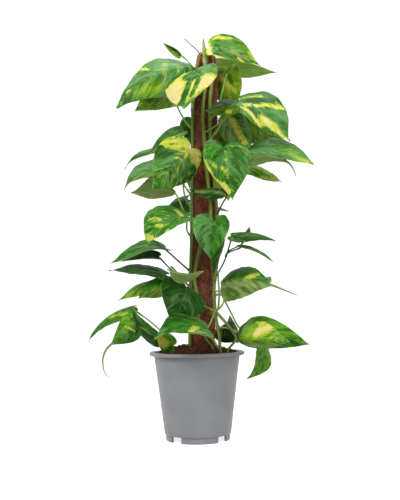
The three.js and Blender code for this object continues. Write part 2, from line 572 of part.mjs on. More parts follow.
    faces: [-0.1, -0.93, 0.36], width: 42, arch: [0.12, 0.08] },
  { piece: 'leaf_back_middle', stem: 'back', node: 415, base: [11, 56, 462], tip: [-10, 126, 420],
    faces: [-0.1, 0.6, 0.78], width: 68, arch: [0.12, 0.08] },
  { piece: 'leaf_back_middle_right', stem: 'back', node: 395, base: [46, 50, 430], tip: [60, 126, 396],
    faces: [0.1, 0.6, 0.78], width: 62, arch: [0.12, 0.08] },
  { piece: 'leaf_back_low_middle', stem: 'back', node: 300, base: [16, 52, 335], tip: [30, 122, 296],
    faces: [0, 0.6, 0.78], width: 54, arch: [0.12, 0.08] },
  { piece: 'leaf_back_left', stem: 'back', node: 345, base: [-34, 76, 368], tip: [-50, 126, 352],
    faces: [-0.2, 0.5, 0.85], width: 46, arch: [0.12, 0.08] },
  { piece: 'leaf_back_low_left', stem: 'back', node: 205, base: [-26, 48, 238], tip: [-30, 122, 196],
    faces: [-0.1, 0.6, 0.78], width: 68, arch: [0.12, 0.08] },
  { piece: 'leaf_back_low_right', stem: 'back', node: 222, base: [84, 46, 248], tip: [132, 100, 248],
    faces: [0.1, 0.3, 0.94], width: 58, arch: [0.06, 0.02] },
  { piece: 'leaf_back_foot', stem: 'back', node: 168, base: [10, 54, 186], tip: [-16, 126, 172],
    faces: [0, 0.5, 0.87], width: 50, arch: [0.12, 0.08] },
];

// The long fine point that some blades run out into.
function dripSolid(leaf, frame) {
  const path = new THREE.CatmullRomCurve3([frame.frameAt(0.9).point, vec(leaf.tip), ...leaf.drip.map(vec)]);
  return tube(path, DRIP_RADIUS, 4, 2 * leaf.drip.length + 2);
}

function leafSolid(leaf) {
  if (leaf.rolled) return rolledSolid(leaf);
  const frame = leafFrame(leaf);
  const solid = bladeSolid(leaf, frame).add(petioleSolid(leaf, frame));
  return leaf.drip ? solid.add(dripSolid(leaf, frame)) : solid;
}

// Soil: a mound inside the pot, with a plain hole for all that stands in it

function soilSolid() {
  const inner = (height) => wallRadius(height) - WALL - GAP;
  const floor = FLOOR_UNDERSIDE + WALL + GAP;
  const mound = revolve([
    [0, floor], [inner(floor), floor], [inner(SOIL_EDGE_HEIGHT), SOIL_EDGE_HEIGHT],
    [58, SOIL_EDGE_HEIGHT + 5], [46, SOIL_EDGE_HEIGHT + 9], [34, SOIL_EDGE_HEIGHT + 12],
    [22, SOIL_EDGE_HEIGHT + 15], [0, SOIL_CROWN_HEIGHT],
  ], SOIL_SEGMENTS);
  const position = mound.attributes.position;
  for (let i = 0; i < position.count; i += 1) {
    const [x, y, z] = [position.getX(i), position.getY(i), position.getZ(i)];
    const radius = Math.hypot(x, y);
    if (z > SOIL_EDGE_HEIGHT + 1 && radius > 1) {
      const clods = 1.4 * Math.sin(x * 0.31 + 1) * Math.cos(y * 0.27) + 0.8 * Math.sin(x * 0.12 - y * 0.4);
      position.setZ(i, z + clods);
    }
  }
  const shaft = POLE_RADIUS + GAP;
  const shaftFloor = POLE_FLOOR - 7;
  const poleHole = revolve([[0, shaftFloor], [shaft, shaftFloor], [shaft, 200], [0, 200]], POLE_SEGMENTS);
  let soil = solidFrom(mound).subtract(solidFrom(leaning(poleHole)));
  for (const name of Object.keys(STEMS)) soil = soil.subtract(stemSolid(name, GAP));
  for (const leaf of LEAVES.filter((entry) => entry.from && entry.from[2] < SOIL_EDGE_HEIGHT)) {
    soil = soil.subtract(petioleSolid(leaf, leafFrame(leaf), GAP));
  }
  return soil.simplify(0.1);
}

// The plant in its pot

const part = new THREE.Group();

function place(name, solid, material) {
  const mesh = new THREE.Mesh(geometryFrom(solid), material);
  mesh.name = name;
  part.add(mesh);
}

place('pot', potSolid(), GREY_PLASTIC);
place('soil', soilSolid(), POTTING_SOIL);
place('pole_stake', stakeSolid(), STAKE_WOOD);
place('coir_sleeve', sleeveSolid(), COIR);
for (const name of Object.keys(STEMS)) {
  const bare = stemSolid(name);
  place(`stem_${name}`, name === DRY_SHEATH.stem ? bare.add(rolledSolid(DRY_SHEATH)) : bare, STEM_GREEN);
}

const stemClearance = Object.fromEntries(Object.keys(STEMS).map((name) => [name, stemSolid(name, GAP)]));
for (const piece of new Set(LEAVES.map((leaf) => leaf.piece))) {
  const group = LEAVES.filter((leaf) => leaf.piece === piece);
  let solid = group.map(leafSolid).reduce((sum, next) => sum.add(next));
  for (const stem of new Set(group.map((leaf) => leaf.stem).filter(Boolean))) {
    solid = solid.subtract(stemClearance[stem]);
  }
  solid = solid.simplify(0.2);
  place(piece, solid, /cream|yellow|rolled/.test(piece) ? LEAF_YELLOW : LEAF_GREEN);
}

export default part;
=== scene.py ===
"""A potted scindapsus: rooted cuttings climbing a coir pole in a round grey nursery pot.

Sizes are written in millimetres and become metres where a mesh is made. The pot stands on the floor at
the origin, +Z is up and -Y looks to the viewer.
"""

import logging
import math
from dataclasses import dataclass, field
from enum import Enum

import bpy
import numpy as np
from mathutils import Matrix


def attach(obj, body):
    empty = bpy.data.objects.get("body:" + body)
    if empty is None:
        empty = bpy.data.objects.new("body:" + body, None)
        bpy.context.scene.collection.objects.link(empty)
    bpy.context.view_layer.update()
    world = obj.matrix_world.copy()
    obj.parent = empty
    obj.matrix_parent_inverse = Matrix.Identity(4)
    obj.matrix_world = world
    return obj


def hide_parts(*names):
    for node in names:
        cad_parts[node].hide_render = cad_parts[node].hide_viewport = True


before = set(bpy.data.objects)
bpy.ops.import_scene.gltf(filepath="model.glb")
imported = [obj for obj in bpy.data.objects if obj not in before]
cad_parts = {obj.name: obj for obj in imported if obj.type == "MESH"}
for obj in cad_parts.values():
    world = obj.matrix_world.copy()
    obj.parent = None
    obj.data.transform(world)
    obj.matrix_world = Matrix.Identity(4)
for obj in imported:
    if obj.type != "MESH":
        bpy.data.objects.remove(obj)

LOG = logging.getLogger("scindapsus")
MM = 0.001
BODY = "root"

Point = tuple[float, float, float]
Pair = tuple[float, float]

# Pot
POT_HEIGHT = 136.0
RIM_RADIUS = 75.0
RIM_SKIRT = 5.0
WALL_TOP_RADIUS = 68.0
WALL_FOOT_RADIUS = 51.0
WALL = 1.5
FLOOR_UNDERSIDE = 11.0
NOTCH_WIDTH = 19.0
NOTCH_HEIGHT = 9.6
NOTCH_TURNS = (49, 139)

# Pole
POLE_FLOOR = 24.0
POLE_TOP = 618.0
POLE_OFFSET = 9.7
POLE_LEAN = 0.026
POLE_RADIUS = 19.0
STAKE_RADIUS = 8.0
COIR_SHOWS = POLE_FLOOR + 100
CORD_PITCH = 52.0
SLEEVE_TAPER = 4.5
SLEEVE_TAPER_LENGTH = 26.0
CORD_END = ((13, -9, 609), (9, -9, 623), (-1, -8, 633), (-13, -8, 645))
DRY_SHEATH = ((34, -18.5, 362.5), (56, -20, 356.5))

# Soil: the height of its surface at each distance from the middle
SOIL_RADII = (0, 22, 34, 46, 58, 64.8)
SOIL_HEIGHTS = (147, 145, 142, 139, 135, 130.5)

# Leaves
BLADE_ROWS = 44
BLADE_COLUMNS = 28
BLADE_THICKNESS = 0.7
VEIN_PAIRS = 11
STALK_SIDES = 8
STALK_STEPS = 26
STALK_RADIUS = 1.35
STALK_INSIDE = 5.0
STALK_BELOW = 0.4
CLASP_SWELL = 0.9
KNEE_SWELL = 0.45
KNEE_PLACE = 0.86
DRIP_SIDES = 6
DRIP_STEPS = 18
DRIP_START = 0.88
DRIP_RADII = (2.1, 0.5)


# Colour


def linear(code: str) -> tuple[float, float, float, float]:
    """Turns a six-digit display colour into the renderer's linear one.

    Args:
        code: Two hexadecimal digits each for red, green and blue.

    Returns:
        Red, green, blue and full alpha.
    """
    shares = [int(code[i : i + 2], 16) / 255 for i in (0, 2, 4)]
    red, green, blue = (s / 12.92 if s <= 0.04045 else ((s + 0.055) / 1.055) ** 2.4 for s in shares)
    return red, green, blue, 1.0


def pigment(code: str) -> np.ndarray:
    """A display colour as the linear numbers that an attribute holds."""
    return np.array(linear(code))


def blend(first: np.ndarray, second: np.ndarray, share: np.ndarray) -> np.ndarray:
    """Goes from one colour to another as the share goes from 0 to 1."""
    return first * (1 - share) + second * share


def ramp(values: np.ndarray, start: float, stop: float) -> np.ndarray:
    """Goes from 0 to 1 as the values go from start to stop, in one column."""
    return np.clip((values - start) / (stop - start), 0, 1)[:, None]


class Tone(Enum):
    """The greens that the halves of the leaf blades have. They are partly the leaves' own greens and partly
    painted light and shade: the darkest green is painted shade for blades and stalks deep in shade, the
    grey-green is partly painted sheen, and a half that turns from the light gets a darker green.
    """

    # painted shade: the green of blades and stalks that lie deep in shade
    PAINTED_SHADE = "133a07"
    DEEP = "20680c"
    MID = "3f9322"
    BRIGHT = "72ba1e"
    LIME = "a2d124"
    OLIVE = "78a418"
    # grey-green, partly the leaves' own colour and partly painted sheen
    GREY_AND_SHEEN = "62a356"
    PALE = "a3c073"


class Stem(Enum):
    """The climbing stems, by their node's name."""

    LEFT = "stem_left"
    FRONT = "stem_front"
    RIGHT = "stem_right"
    BACK = "stem_back"
    ARCH = "stem_arch"


class Slot(Enum):
    """The record's material slots."""

    POT = "grey_plastic"
    SOIL = "potting_soil"
    WOOD = "stake_wood"
    COIR = "coir"
    STEM = "stem"
    GREEN = "leaf_green"
    VARIEGATED = "leaf_variegated"
    YOUNG = "leaf_young"


# Node graphs


class Graph:
    """A material under construction, with short ways to add its nodes."""

    def __init__(self, name: str) -> None:
        """Starts an empty material with one principled shader.

        Args:
            name: The material's name.
        """
        self.material = bpy.data.materials.new(name)
        self.material.use_nodes = True
        self.tree = self.material.node_tree
        self.shader = self.tree.nodes["Principled BSDF"]

    def node(self, kind: str) -> bpy.types.Node:
        """Adds a node of a kind."""
        return self.tree.nodes.new(kind)

    def join(self, value: object, socket: bpy.types.NodeSocket) -> None:
        """Feeds a socket from another socket, or sets it to a plain value.

        Args:
            value: An output socket, a number or a colour.
            socket: The input to feed.
        """
        if isinstance(value, bpy.types.NodeSocket):
            self.tree.links.new(value, socket)
        else:
            socket.default_value = value

    def math(self, operation: str, *values: object) -> bpy.types.NodeSocket:
        """Adds a sum of one, two or three values.

        Args:
            operation: The math node's operation.
            *values: Sockets or numbers.

        Returns:
            The result's socket.
        """
        made = self.node("ShaderNodeMath")
        made.operation = operation
        for value, socket in zip(values, made.inputs):
            self.join(value, socket)
        return made.outputs[0]

    def times(self, first: object, second: object) -> bpy.types.NodeSocket:
        """The product of two values."""
        return self.math("MULTIPLY", first, second)

    def waver(self, noise: object, reach: float, middle: object) -> bpy.types.NodeSocket:
        """A value that noise swings about its middle."""
        return self.math("MULTIPLY_ADD", self.math("SUBTRACT", noise, 0.5), reach, middle)

    def line(self, value: object, low: float, high: float) -> bpy.types.NodeSocket:
        """Falls smoothly from 1 to 0 as the value goes from low to high."""
        return self.math("SUBTRACT", 1.0, self.step(value, low, high))

    def step(self, value: object, low: float, high: float) -> bpy.types.NodeSocket:
        """Rises smoothly from 0 to 1 as the value goes from low to high.

        Args:
            value: The value.
            low: Where the rise begins.
            high: Where it ends.

        Returns:
            The result's socket.
        """
        made = self.node("ShaderNodeMapRange")
        made.interpolation_type = "SMOOTHSTEP"
        self.join(value, made.inputs[0])
        made.inputs[1].default_value = low
        made.inputs[2].default_value = high
        return made.outputs[0]

    def mix(self, share: object, first: object, second: object,
            kind: str = "MIX") -> bpy.types.NodeSocket:
        """Mixes two colours.

        Args:
            share: How much of the second colour shows, from 0 to 1.
            first: The first colour.
            second: The second colour.
            kind: The way of mixing.

        Returns:
            The mixed colour's socket.
        """
        made = self.node("ShaderNodeMix")
        made.data_type = "RGBA"
        made.blend_type = kind
        self.join(share, made.inputs[0])
        self.join(first, made.inputs[6])
        self.join(second, made.inputs[7])
        return made.outputs[2]

    def read(self, name: str) -> bpy.types.Node:
        """Adds a node that reads one of the mesh's attributes.

        Args:
            name: The attribute's name.

        Returns:
            The node.
        """
        made = self.node("ShaderNodeAttribute")
        made.attribute_name = name
        return made

    def place(self) -> bpy.types.NodeSocket:
        """The point's place in metres, from the origin."""
        return self.node("ShaderNodeTexCoord").outputs["Object"]

    def split(self, vector: object) -> tuple[bpy.types.NodeSocket, ...]:
        """Takes a vector apart.

        Args:
            vector: The vector.

        Returns:
            The sockets of its three parts.
        """
        made = self.node("ShaderNodeSeparateXYZ")
        self.join(vector, made.inputs[0])
        return tuple(made.outputs)

    def stretch(self, vector: object, scale: Point) -> bpy.types.NodeSocket:
        """Multiplies each part of a vector.

        Args:
            vector: The vector.
            scale: The three factors.

        Returns:
            The longer or shorter vector's socket.
        """
        made = self.node("ShaderNodeVectorMath")
        made.operation = "MULTIPLY"
        self.join(vector, made.inputs[0])
        made.inputs[1].default_value = scale
        return made.outputs[0]

    def noise(self, vector: object, scale: float, detail: float = 3.0,
              rough: float = 0.55) -> bpy.types.NodeSocket:
        """Adds cloudy noise between 0 and 1.

        Args:
            vector: Where it is read.
            scale: How fine it is.
            detail: How many finer layers it holds.
            rough: How strong the finer layers are.

        Returns:
            The noise's socket.
        """
        made = self.node("ShaderNodeTexNoise")
        self.join(vector, made.inputs["Vector"])
        made.inputs["Scale"].default_value = scale
        made.inputs["Detail"].default_value = detail
        made.inputs["Roughness"].default_value = rough
        return made.outputs[0]

    def bump(self, height: object, depth: float, under: object = None) -> bpy.types.NodeSocket:
        """Adds relief.

        Args:
            height: The height's socket.
            depth: How deep a height of one is, in millimetres.
            under: The normal of coarser relief below, if any.

        Returns:
            The normal's socket.
        """
        made = self.node("ShaderNodeBump")
        made.inputs["Strength"].default_value = 1.0
        made.inputs["Distance"].default_value = depth * MM
        self.join(height, made.inputs["Height"])
        if under is not None:
            self.join(under, made.inputs["Normal"])
        return made.outputs[0]

    def finish(self, colour: object, rough: object, normal: object = None,
               gloss: float = 0.5) -> bpy.types.Material:
        """Feeds the shader and hands the material over.

        Args:
            colour: The base colour.
            rough: The roughness.
            normal: The relief's normal, if any.
            gloss: The strength of the mirror part, 0.5 for common matter.

        Returns:
            The material.
        """
        self.join(colour, self.shader.inputs["Base Color"])
        self.join(rough, self.shader.inputs["Roughness"])
        self.shader.inputs["Specular IOR Level"].default_value = gloss
        if normal is not None:
            self.join(normal, self.shader.inputs["Normal"])
        return self.material


@dataclass(frozen=True)
class BladeFinish:
    """A leaf blade's skin, painted from the blade's own attributes.

    The ground is its green, the marbling says how far it turns to lime, yellow and cream, and the weave
    holds the vein number, the way along the vein and the place across the blade. The numbers from midrib
    to margin say how pale each kind of line is.
    """

    name: str
    lime: str = "a8cc4c"
    yellow: str = "dcd646"
    cream: str = "efdf98"
    # The tissue and cloud colours darken the green as painted shade, and the pale grey-green colour below
    # them is a painted sheen
    tissue_shade: str = "a9b690"
    cloud_shade: str = "9ab27a"
    painted_sheen: str = "a5cc92"
    underside: str = "c6e088"
    vein_lift: str = "b4ac98"
    vein_tint: str = "c3d68a"
    pallor: float = 0.0
    streaks: float = 2.5
    specks: float = 1.1
    midrib: float = 0.42
    side_vein: float = 0.26
    fine_vein: float = 0.24
    margin: float = 0.3
    roughness: float = 0.42
    relief: float = 0.6
    gloss: float = 0.08
    glow: float = 0.3

    def shade(self, g: Graph, weave: object, tissue: object, cloud: object) -> bpy.types.NodeSocket:
        """Paints the green with painted shade, darker along the tissue and in clouds, and with a painted
        grey-green sheen in places.

        Args:
            g: The material.
            weave: The place on the blade.
            tissue: Fine noise along the veins.
            cloud: Broad noise.

        Returns:
            The colour.
        """
        ground = g.read("ground").outputs["Color"]
        # painted shade: the green darkens along the fine tissue noise and in broad clouds, in place of the
        # shade of the leaf's relief
        dusk = g.mix(1.0, ground, linear(self.tissue_shade), "MULTIPLY")
        shaded = g.mix(g.times(g.step(tissue, 0.35, 0.65), 0.8), ground, dusk)
        dusk = g.mix(1.0, shaded, linear(self.cloud_shade), "MULTIPLY")
        shaded = g.mix(g.step(cloud, 0.42, 0.62), shaded, dusk)
        # painted sheen: a pale grey-green veil in noise patches, in place of the gloss of the leaf
        painted_sheen = g.noise(g.stretch(weave, (7.0, 2.6, 2.6)), 1.0, 3.0)
        sheen_veil = g.mix(0.6, ground, linear(self.painted_sheen))
        return g.mix(g.times(g.step(painted_sheen, 0.5, 0.68), 0.36), shaded, sheen_veil)

    def marble(self, g: Graph, weave: object, green: object) -> bpy.types.NodeSocket:
        """Turns the green to lime, yellow and cream in streaks and specks along the veins.

        Args:
            g: The material.
            weave: The place on the blade.
            green: The green that it starts from.

        Returns:
            The colour.
        """
        streak = g.noise(g.stretch(weave, (30.0, 8.0, 6.0)), 1.0, 4.0, 0.62)
        speck = g.noise(g.stretch(weave, (95.0, 40.0, 26.0)), 1.0, 2.0)
        lively = g.waver(streak, self.streaks, g.read("marbling").outputs["Fac"])
        lively = g.waver(speck, self.specks, lively)
        colour = g.mix(g.times(g.step(lively, 0.42, 0.62), 0.45), green, linear(self.lime))
        for tone, low, high in ((self.lime, 0.62, 0.7), (self.yellow, 0.78, 0.9), (self.cream, 1.15, 1.35)):
            colour = g.mix(g.step(lively, low, high), colour, linear(tone))
        return colour

    def build(self) -> bpy.types.Material:
        """Makes the material.

        Returns:
            The material.
        """
        g = Graph(self.name)
        weave = g.read("weave").outputs["Vector"]
        tissue = g.noise(g.stretch(weave, (60.0, 7.0, 5.0)), 1.0, 3.0)
        cloud = g.noise(g.stretch(weave, (9.0, 3.0, 3.0)), 1.0, 2.0)
        colour = self.marble(g, weave, self.shade(g, weave, tissue, cloud))
        vein, along, _ = g.split(weave)
        side = g.line(g.math("PINGPONG", g.times(vein, float(VEIN_PAIRS)), 0.5), 0.0, 0.1)
        fine = g.line(g.math("PINGPONG", g.times(vein, 5.0 * VEIN_PAIRS), 0.5), 0.0, 0.3)
        middle = g.line(along, 0.008, 0.02)
        margin = g.step(g.read("rim").outputs["Fac"], 0.965, 0.99)
        pale = g.times(g.times(middle, g.step(cloud, 0.35, 0.6)), self.midrib)
        pale = g.math("MAXIMUM", pale, g.times(side, self.side_vein))
        pale = g.math("MAXIMUM", pale, g.times(g.times(fine, g.step(tissue, 0.4, 0.6)), self.fine_vein))
        pale = g.math("MAXIMUM", pale, g.times(margin, self.margin))
        if self.pallor:
            colour = g.mix(self.pallor, colour, linear(self.underside))
        lit = g.mix(0.35, g.mix(1.0, colour, linear(self.vein_lift), "DODGE"), linear(self.vein_tint))
        colour = g.mix(pale, colour, lit)
        relief = g.math("ADD", g.times(side, 0.6), g.times(fine, 0.25))
        relief = g.math("MULTIPLY_ADD", tissue, 0.3, g.math("MAXIMUM", relief, middle))
        rough = g.math("MULTIPLY_ADD", tissue, 0.14, self.roughness - 0.07)
        g.shader.inputs["Subsurface Weight"].default_value = self.glow
        g.shader.inputs["Subsurface Radius"].default_value = (0.7, 1.0, 0.2)
        g.shader.inputs["Subsurface Scale"].default_value = 1.2 * MM
        return g.finish(colour, rough, g.bump(relief, -self.relief), self.gloss)


@dataclass(frozen=True)
class StalkFinish:
    """The skin of stalks and stems: streaked along, from their own ground colour."""

    name: str
    mark: str
    marks: float = 0.3
    roughness: float = 0.42

    def build(self) -> bpy.types.Material:
        """Makes the material.

        Returns:
            The material.
        """
        g = Graph(self.name)
        ground = g.read("ground").outputs["Color"]
        weave = g.read("weave").outputs["Vector"]
        place = g.place()
        streak = g.noise(g.stretch(weave, (9.0, 2.5, 9.0)), 1.0, 3.0)
        blotch = g.noise(g.stretch(place, (1.0, 1.0, 0.35)), 420.0, 3.0)
        colour = g.mix(g.times(g.step(blotch, 0.55, 0.72), self.marks), ground, linear(self.mark))
        colour = g.mix(g.step(streak, 0.3, 0.7), colour, linear("d8dccc"), "MULTIPLY")
        return g.finish(colour, self.roughness, g.bump(streak, 0.4))


@dataclass(frozen=True)
class CoirFinish:
    """Coconut fibre, from the dark felt below to the pale strands on top."""

    name: str
    dark: str
    light: str
    grain: float = 260.0
    depth: float = 1.6

    def build(self) -> bpy.types.Material:
        """Makes the material.

        Returns:
            The material.
        """
        g = Graph(self.name)
        place = g.place()
        felt = g.noise(g.stretch(place, (1.0, 1.0, 0.35)), self.grain, 5.0, 0.65)
        patch = g.noise(place, 38.0, 3.0)
        colour = g.mix(g.step(felt, 0.32, 0.68), linear(self.dark), linear(self.light))
        colour = g.mix(g.step(patch, 0.3, 0.75), colour, linear("c9b6aa"), "MULTIPLY")
        return g.finish(colour, 0.92, g.bump(felt, self.depth), 0.2)


@dataclass(frozen=True)
class EarthFinish:
    """Peat and bark crumb."""

    name: str
    dark: str
    light: str

    def build(self) -> bpy.types.Material:
        """Makes the material.

        Returns:
            The material.
        """
        g = Graph(self.name)
        place = g.place()
        crumb = g.noise(place, 330.0, 5.0, 0.7)
        patch = g.noise(place, 75.0, 3.0)
        colour = g.mix(g.step(crumb, 0.35, 0.7), linear(self.dark), linear(self.light))
        colour = g.mix(g.step(patch, 0.35, 0.7), colour, linear("b5a79c"), "MULTIPLY")
        return g.finish(colour, 0.95, g.bump(crumb, 1.8), 0.25)


@dataclass(frozen=True)
class PlasticFinish:
    """Thin moulded plastic: faint flow lines, a fine grain and dust in patches."""

    name: str
    base: str
    dusty: str
    roughness: float = 0.48

    def build(self) -> bpy.types.Material:
        """Makes the material.

        Returns:
            The material.
        """
        g = Graph(self.name)
        place = g.place()
        flow = g.noise(g.stretch(place, (60.0, 60.0, 9.0)), 1.0, 3.0)
        cloud = g.noise(place, 22.0, 4.0)
        grain = g.noise(place, 1900.0, 2.0)
        colour = g.mix(g.times(g.step(cloud, 0.35, 0.75), 0.5), linear(self.base), linear(self.dusty))
        rough = g.math("MULTIPLY_ADD", flow, 0.16, self.roughness - 0.08)
        return g.finish(colour, rough, g.bump(grain, 0.03, g.bump(flow, 0.12)), 0.4)


@dataclass(frozen=True)
class WoodFinish:
    """The end of the stake that shows above the coir."""

    name: str
    pale: str
    dark: str

    def build(self) -> bpy.types.Material:
        """Makes the material.

        Returns:
            The material.
        """
        g = Graph(self.name)
        grain = g.noise(g.stretch(g.place(), (900.0, 900.0, 30.0)), 1.0, 4.0)
        colour = g.mix(grain, linear(self.dark), linear(self.pale))
        return g.finish(colour, 0.75, g.bump(grain, 0.3))


# Mesh making


def unit(vectors: np.ndarray) -> np.ndarray:
    """Scales vectors to length one."""
    return vectors / np.linalg.norm(vectors, axis=-1, keepdims=True)


def deselect() -> None:
    """Leaves nothing selected."""
    bpy.ops.object.select_all(action="DESELECT")


def activate(piece: bpy.types.Object) -> None:
    """Makes one object the only one selected and the active one.

    Args:
        piece: The object.
    """
    deselect()
    piece.select_set(True)
    bpy.context.view_layer.objects.active = piece


def points_of(piece: bpy.types.Object) -> np.ndarray:
    """Reads where a mesh's vertices are.

    Args:
        piece: The object whose mesh it is.

    Returns:
        One row for each vertex.
    """
    flat = np.empty(3 * len(piece.data.vertices))
    piece.data.vertices.foreach_get("co", flat)
    return flat.reshape(-1, 3)


def move_points(piece: bpy.types.Object, points: np.ndarray) -> None:
    """Gives a mesh's vertices new places."""
    piece.data.vertices.foreach_set("co", points.ravel())
    piece.data.update()


def store(piece: bpy.types.Object, name: str, values: np.ndarray) -> None:
    """Writes an attribute of each vertex.

    Args:
        piece: The object whose mesh holds it.
        name: The attribute's name.
        values: One number, three or four numbers for each vertex.
    """
    width = 1 if values.ndim == 1 else values.shape[1]
    kind, key = {1: ("FLOAT", "value"), 3: ("FLOAT_VECTOR", "vector"), 4: ("FLOAT_COLOR", "color")}[width]
    attribute = piece.data.attributes.new(name, kind, "POINT")
    attribute.data.foreach_set(key, np.ascontiguousarray(values, dtype=float).ravel())


def sheet(name: str, columns: int, rows: int) -> tuple[bpy.types.Object, np.ndarray, np.ndarray]:
    """Adds a flat grid to shape.

    Args:
        name: The object's name.
        columns: Faces across.
        rows: Faces along.

    Returns:
        The object, and for each vertex its share across from -1 to 1 and along from 0 to 1.
    """
    deselect()
    bpy.ops.mesh.primitive_grid_add(x_subdivisions=columns, y_subdivisions=rows, size=2)
    piece = bpy.context.object
    piece.name = name
    piece.data.name = name
    flat = points_of(piece)
    return piece, np.clip(flat[:, 0], -1, 1), np.clip((flat[:, 1] + 1) / 2, 0, 1)


def close(piece: bpy.types.Object, outward: bool = False) -> None:
    """Merges the points that coincide.

    Args:
        piece: The object.
        outward: Whether the closed mesh's faces are then turned outward.
    """
    activate(piece)
    bpy.ops.object.mode_set(mode="EDIT")
    bpy.ops.mesh.select_all(action="SELECT")
    bpy.ops.mesh.remove_doubles(threshold=2e-6)
    bpy.ops.mesh.dissolve_degenerate(threshold=1e-6)
    if outward:
        bpy.ops.mesh.normals_make_consistent(inside=False)
    bpy.ops.object.mode_set(mode="OBJECT")


def smooth(piece: bpy.types.Object, angle: float = 50.0) -> None:
    """Shades a piece smooth, except over edges sharper than the angle in degrees."""
    activate(piece)
    bpy.ops.object.shade_smooth_by_angle(angle=math.radians(angle))


def coat(piece: bpy.types.Object, skin: bpy.types.Material, angle: float = 50.0) -> bpy.types.Object:
    """Gives a piece its material and shades it smooth.

    Args:
        piece: The piece.
        skin: The material.
        angle: Edges sharper than this many degrees stay sharp.

    Returns:
        The piece.
    """
    piece.data.materials.append(skin)
    smooth(piece, angle)
    return piece


def tint(piece: bpy.types.Object, colour: np.ndarray) -> None:
    """Gives all of a piece one ground colour."""
    store(piece, "ground", np.tile(colour, (len(piece.data.vertices), 1)))


def repeated(faces: list | np.ndarray, corners: int, count: int) -> list[list[int]]:
    """Numbers one small body's faces anew for each of its copies.

    Args:
        faces: The corners' numbers around each face, all faces with as many corners.
        corners: How many corners the body has.
        count: How many copies there are.

    Returns:
        The faces of all copies.
    """
    faces = np.asarray(faces)
    return (faces[None] + corners * np.arange(count)[:, None, None]).reshape(-1, faces.shape[1]).tolist()


def strewn(name: str, vertices: np.ndarray, faces: list[list[int]],
           skin: bpy.types.Material) -> bpy.types.Object:
    """Makes one object of many small bodies, straight from their corners.

    Args:
        name: The object's name.
        vertices: The corners in millimetres.
        faces: The corners' numbers around each face.
        skin: The material.

    Returns:
        The object.
    """
    mesh = bpy.data.meshes.new(name)
    mesh.from_pydata((vertices.reshape(-1, 3) * MM).tolist(), [], faces)
    mesh.materials.append(skin)
    piece = bpy.data.objects.new(name, mesh)
    bpy.context.collection.objects.link(piece)
    return piece


def fuse(name: str, parts: list[bpy.types.Object]) -> bpy.types.Object:
    """Joins objects into one.

    Args:
        name: The name that it gets.
        parts: The objects.

    Returns:
        The joined object.
    """
    activate(parts[0])
    for part in parts[1:]:
        part.select_set(True)
    if len(parts) > 1:
        bpy.ops.object.join()
    piece = bpy.context.view_layer.objects.active
    piece.name = name
    piece.data.name = name
    return piece


def apply_modifiers(piece: bpy.types.Object) -> None:
    """Applies all of a piece's modifiers in order.

    Args:
        piece: The piece.
    """
    activate(piece)
    for modifier in list(piece.modifiers):
        bpy.ops.object.modifier_apply(modifier=modifier.name)


def settle(piece: bpy.types.Object, slot: Slot, *nodes: str) -> bpy.types.Object:
    """Ties a finished piece to the frame and logs it.

    Args:
        piece: The piece.
        slot: The record's slot for its finish; not used.
        *nodes: The nodes that it stands for.

    Returns:
        The piece.
    """
    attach(piece, BODY)
    if nodes:
        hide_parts(*nodes)
    LOG.info("%s: %d faces", piece.name, len(piece.data.polygons))
    return piece


# Routes and tubes


def catmull(points: np.ndarray, shares: np.ndarray) -> np.ndarray:
    """A smooth route through points.

    Args:
        points: The points that it passes, in order.
        shares: Where to read it, from 0 at the first point to 1 at the last.

    Returns:
        A point for each share.
    """
    ends = np.vstack([2 * points[0] - points[1], points, 2 * points[-1] - points[-2]])
    spans = len(points) - 1
    at = np.clip(shares, 0, 1) * spans
    first = np.minimum(at.astype(int), spans - 1)
    w = (at - first)[:, None]
    before, start, stop, after = (ends[first + k] for k in range(4))
    leave, arrive = (stop - before) / 2, (after - start) / 2
    return ((2 * start - 2 * stop + leave + arrive) * w**3
            + (3 * stop - 3 * start - 2 * leave - arrive) * w**2 + leave * w + start)


def bezier(corners: np.ndarray, shares: np.ndarray) -> np.ndarray:
    """A cubic curve.

    Args:
        corners: Its four corners.
        shares: Where to read it, from 0 to 1.

    Returns:
        A point for each share.
    """
    t = shares[:, None]
    a, b, c, d = corners
    return (1 - t) ** 3 * a + 3 * (1 - t) ** 2 * t * b + 3 * (1 - t) * t**2 * c + t**3 * d


def even(points: np.ndarray, count: int) -> np.ndarray:
    """Reads a route at places that lie evenly along it.

    Args:
        points: The route, closely spaced.
        count: How many places.

    Returns:
        The places, one row each.
    """
    steps = np.linalg.norm(np.diff(points, axis=0), axis=1)
    way = np.concatenate([[0.0], np.cumsum(steps)])
    spots = np.linspace(0, way[-1], count)
    return np.stack([np.interp(spots, way, points[:, k]) for k in range(3)], axis=1)


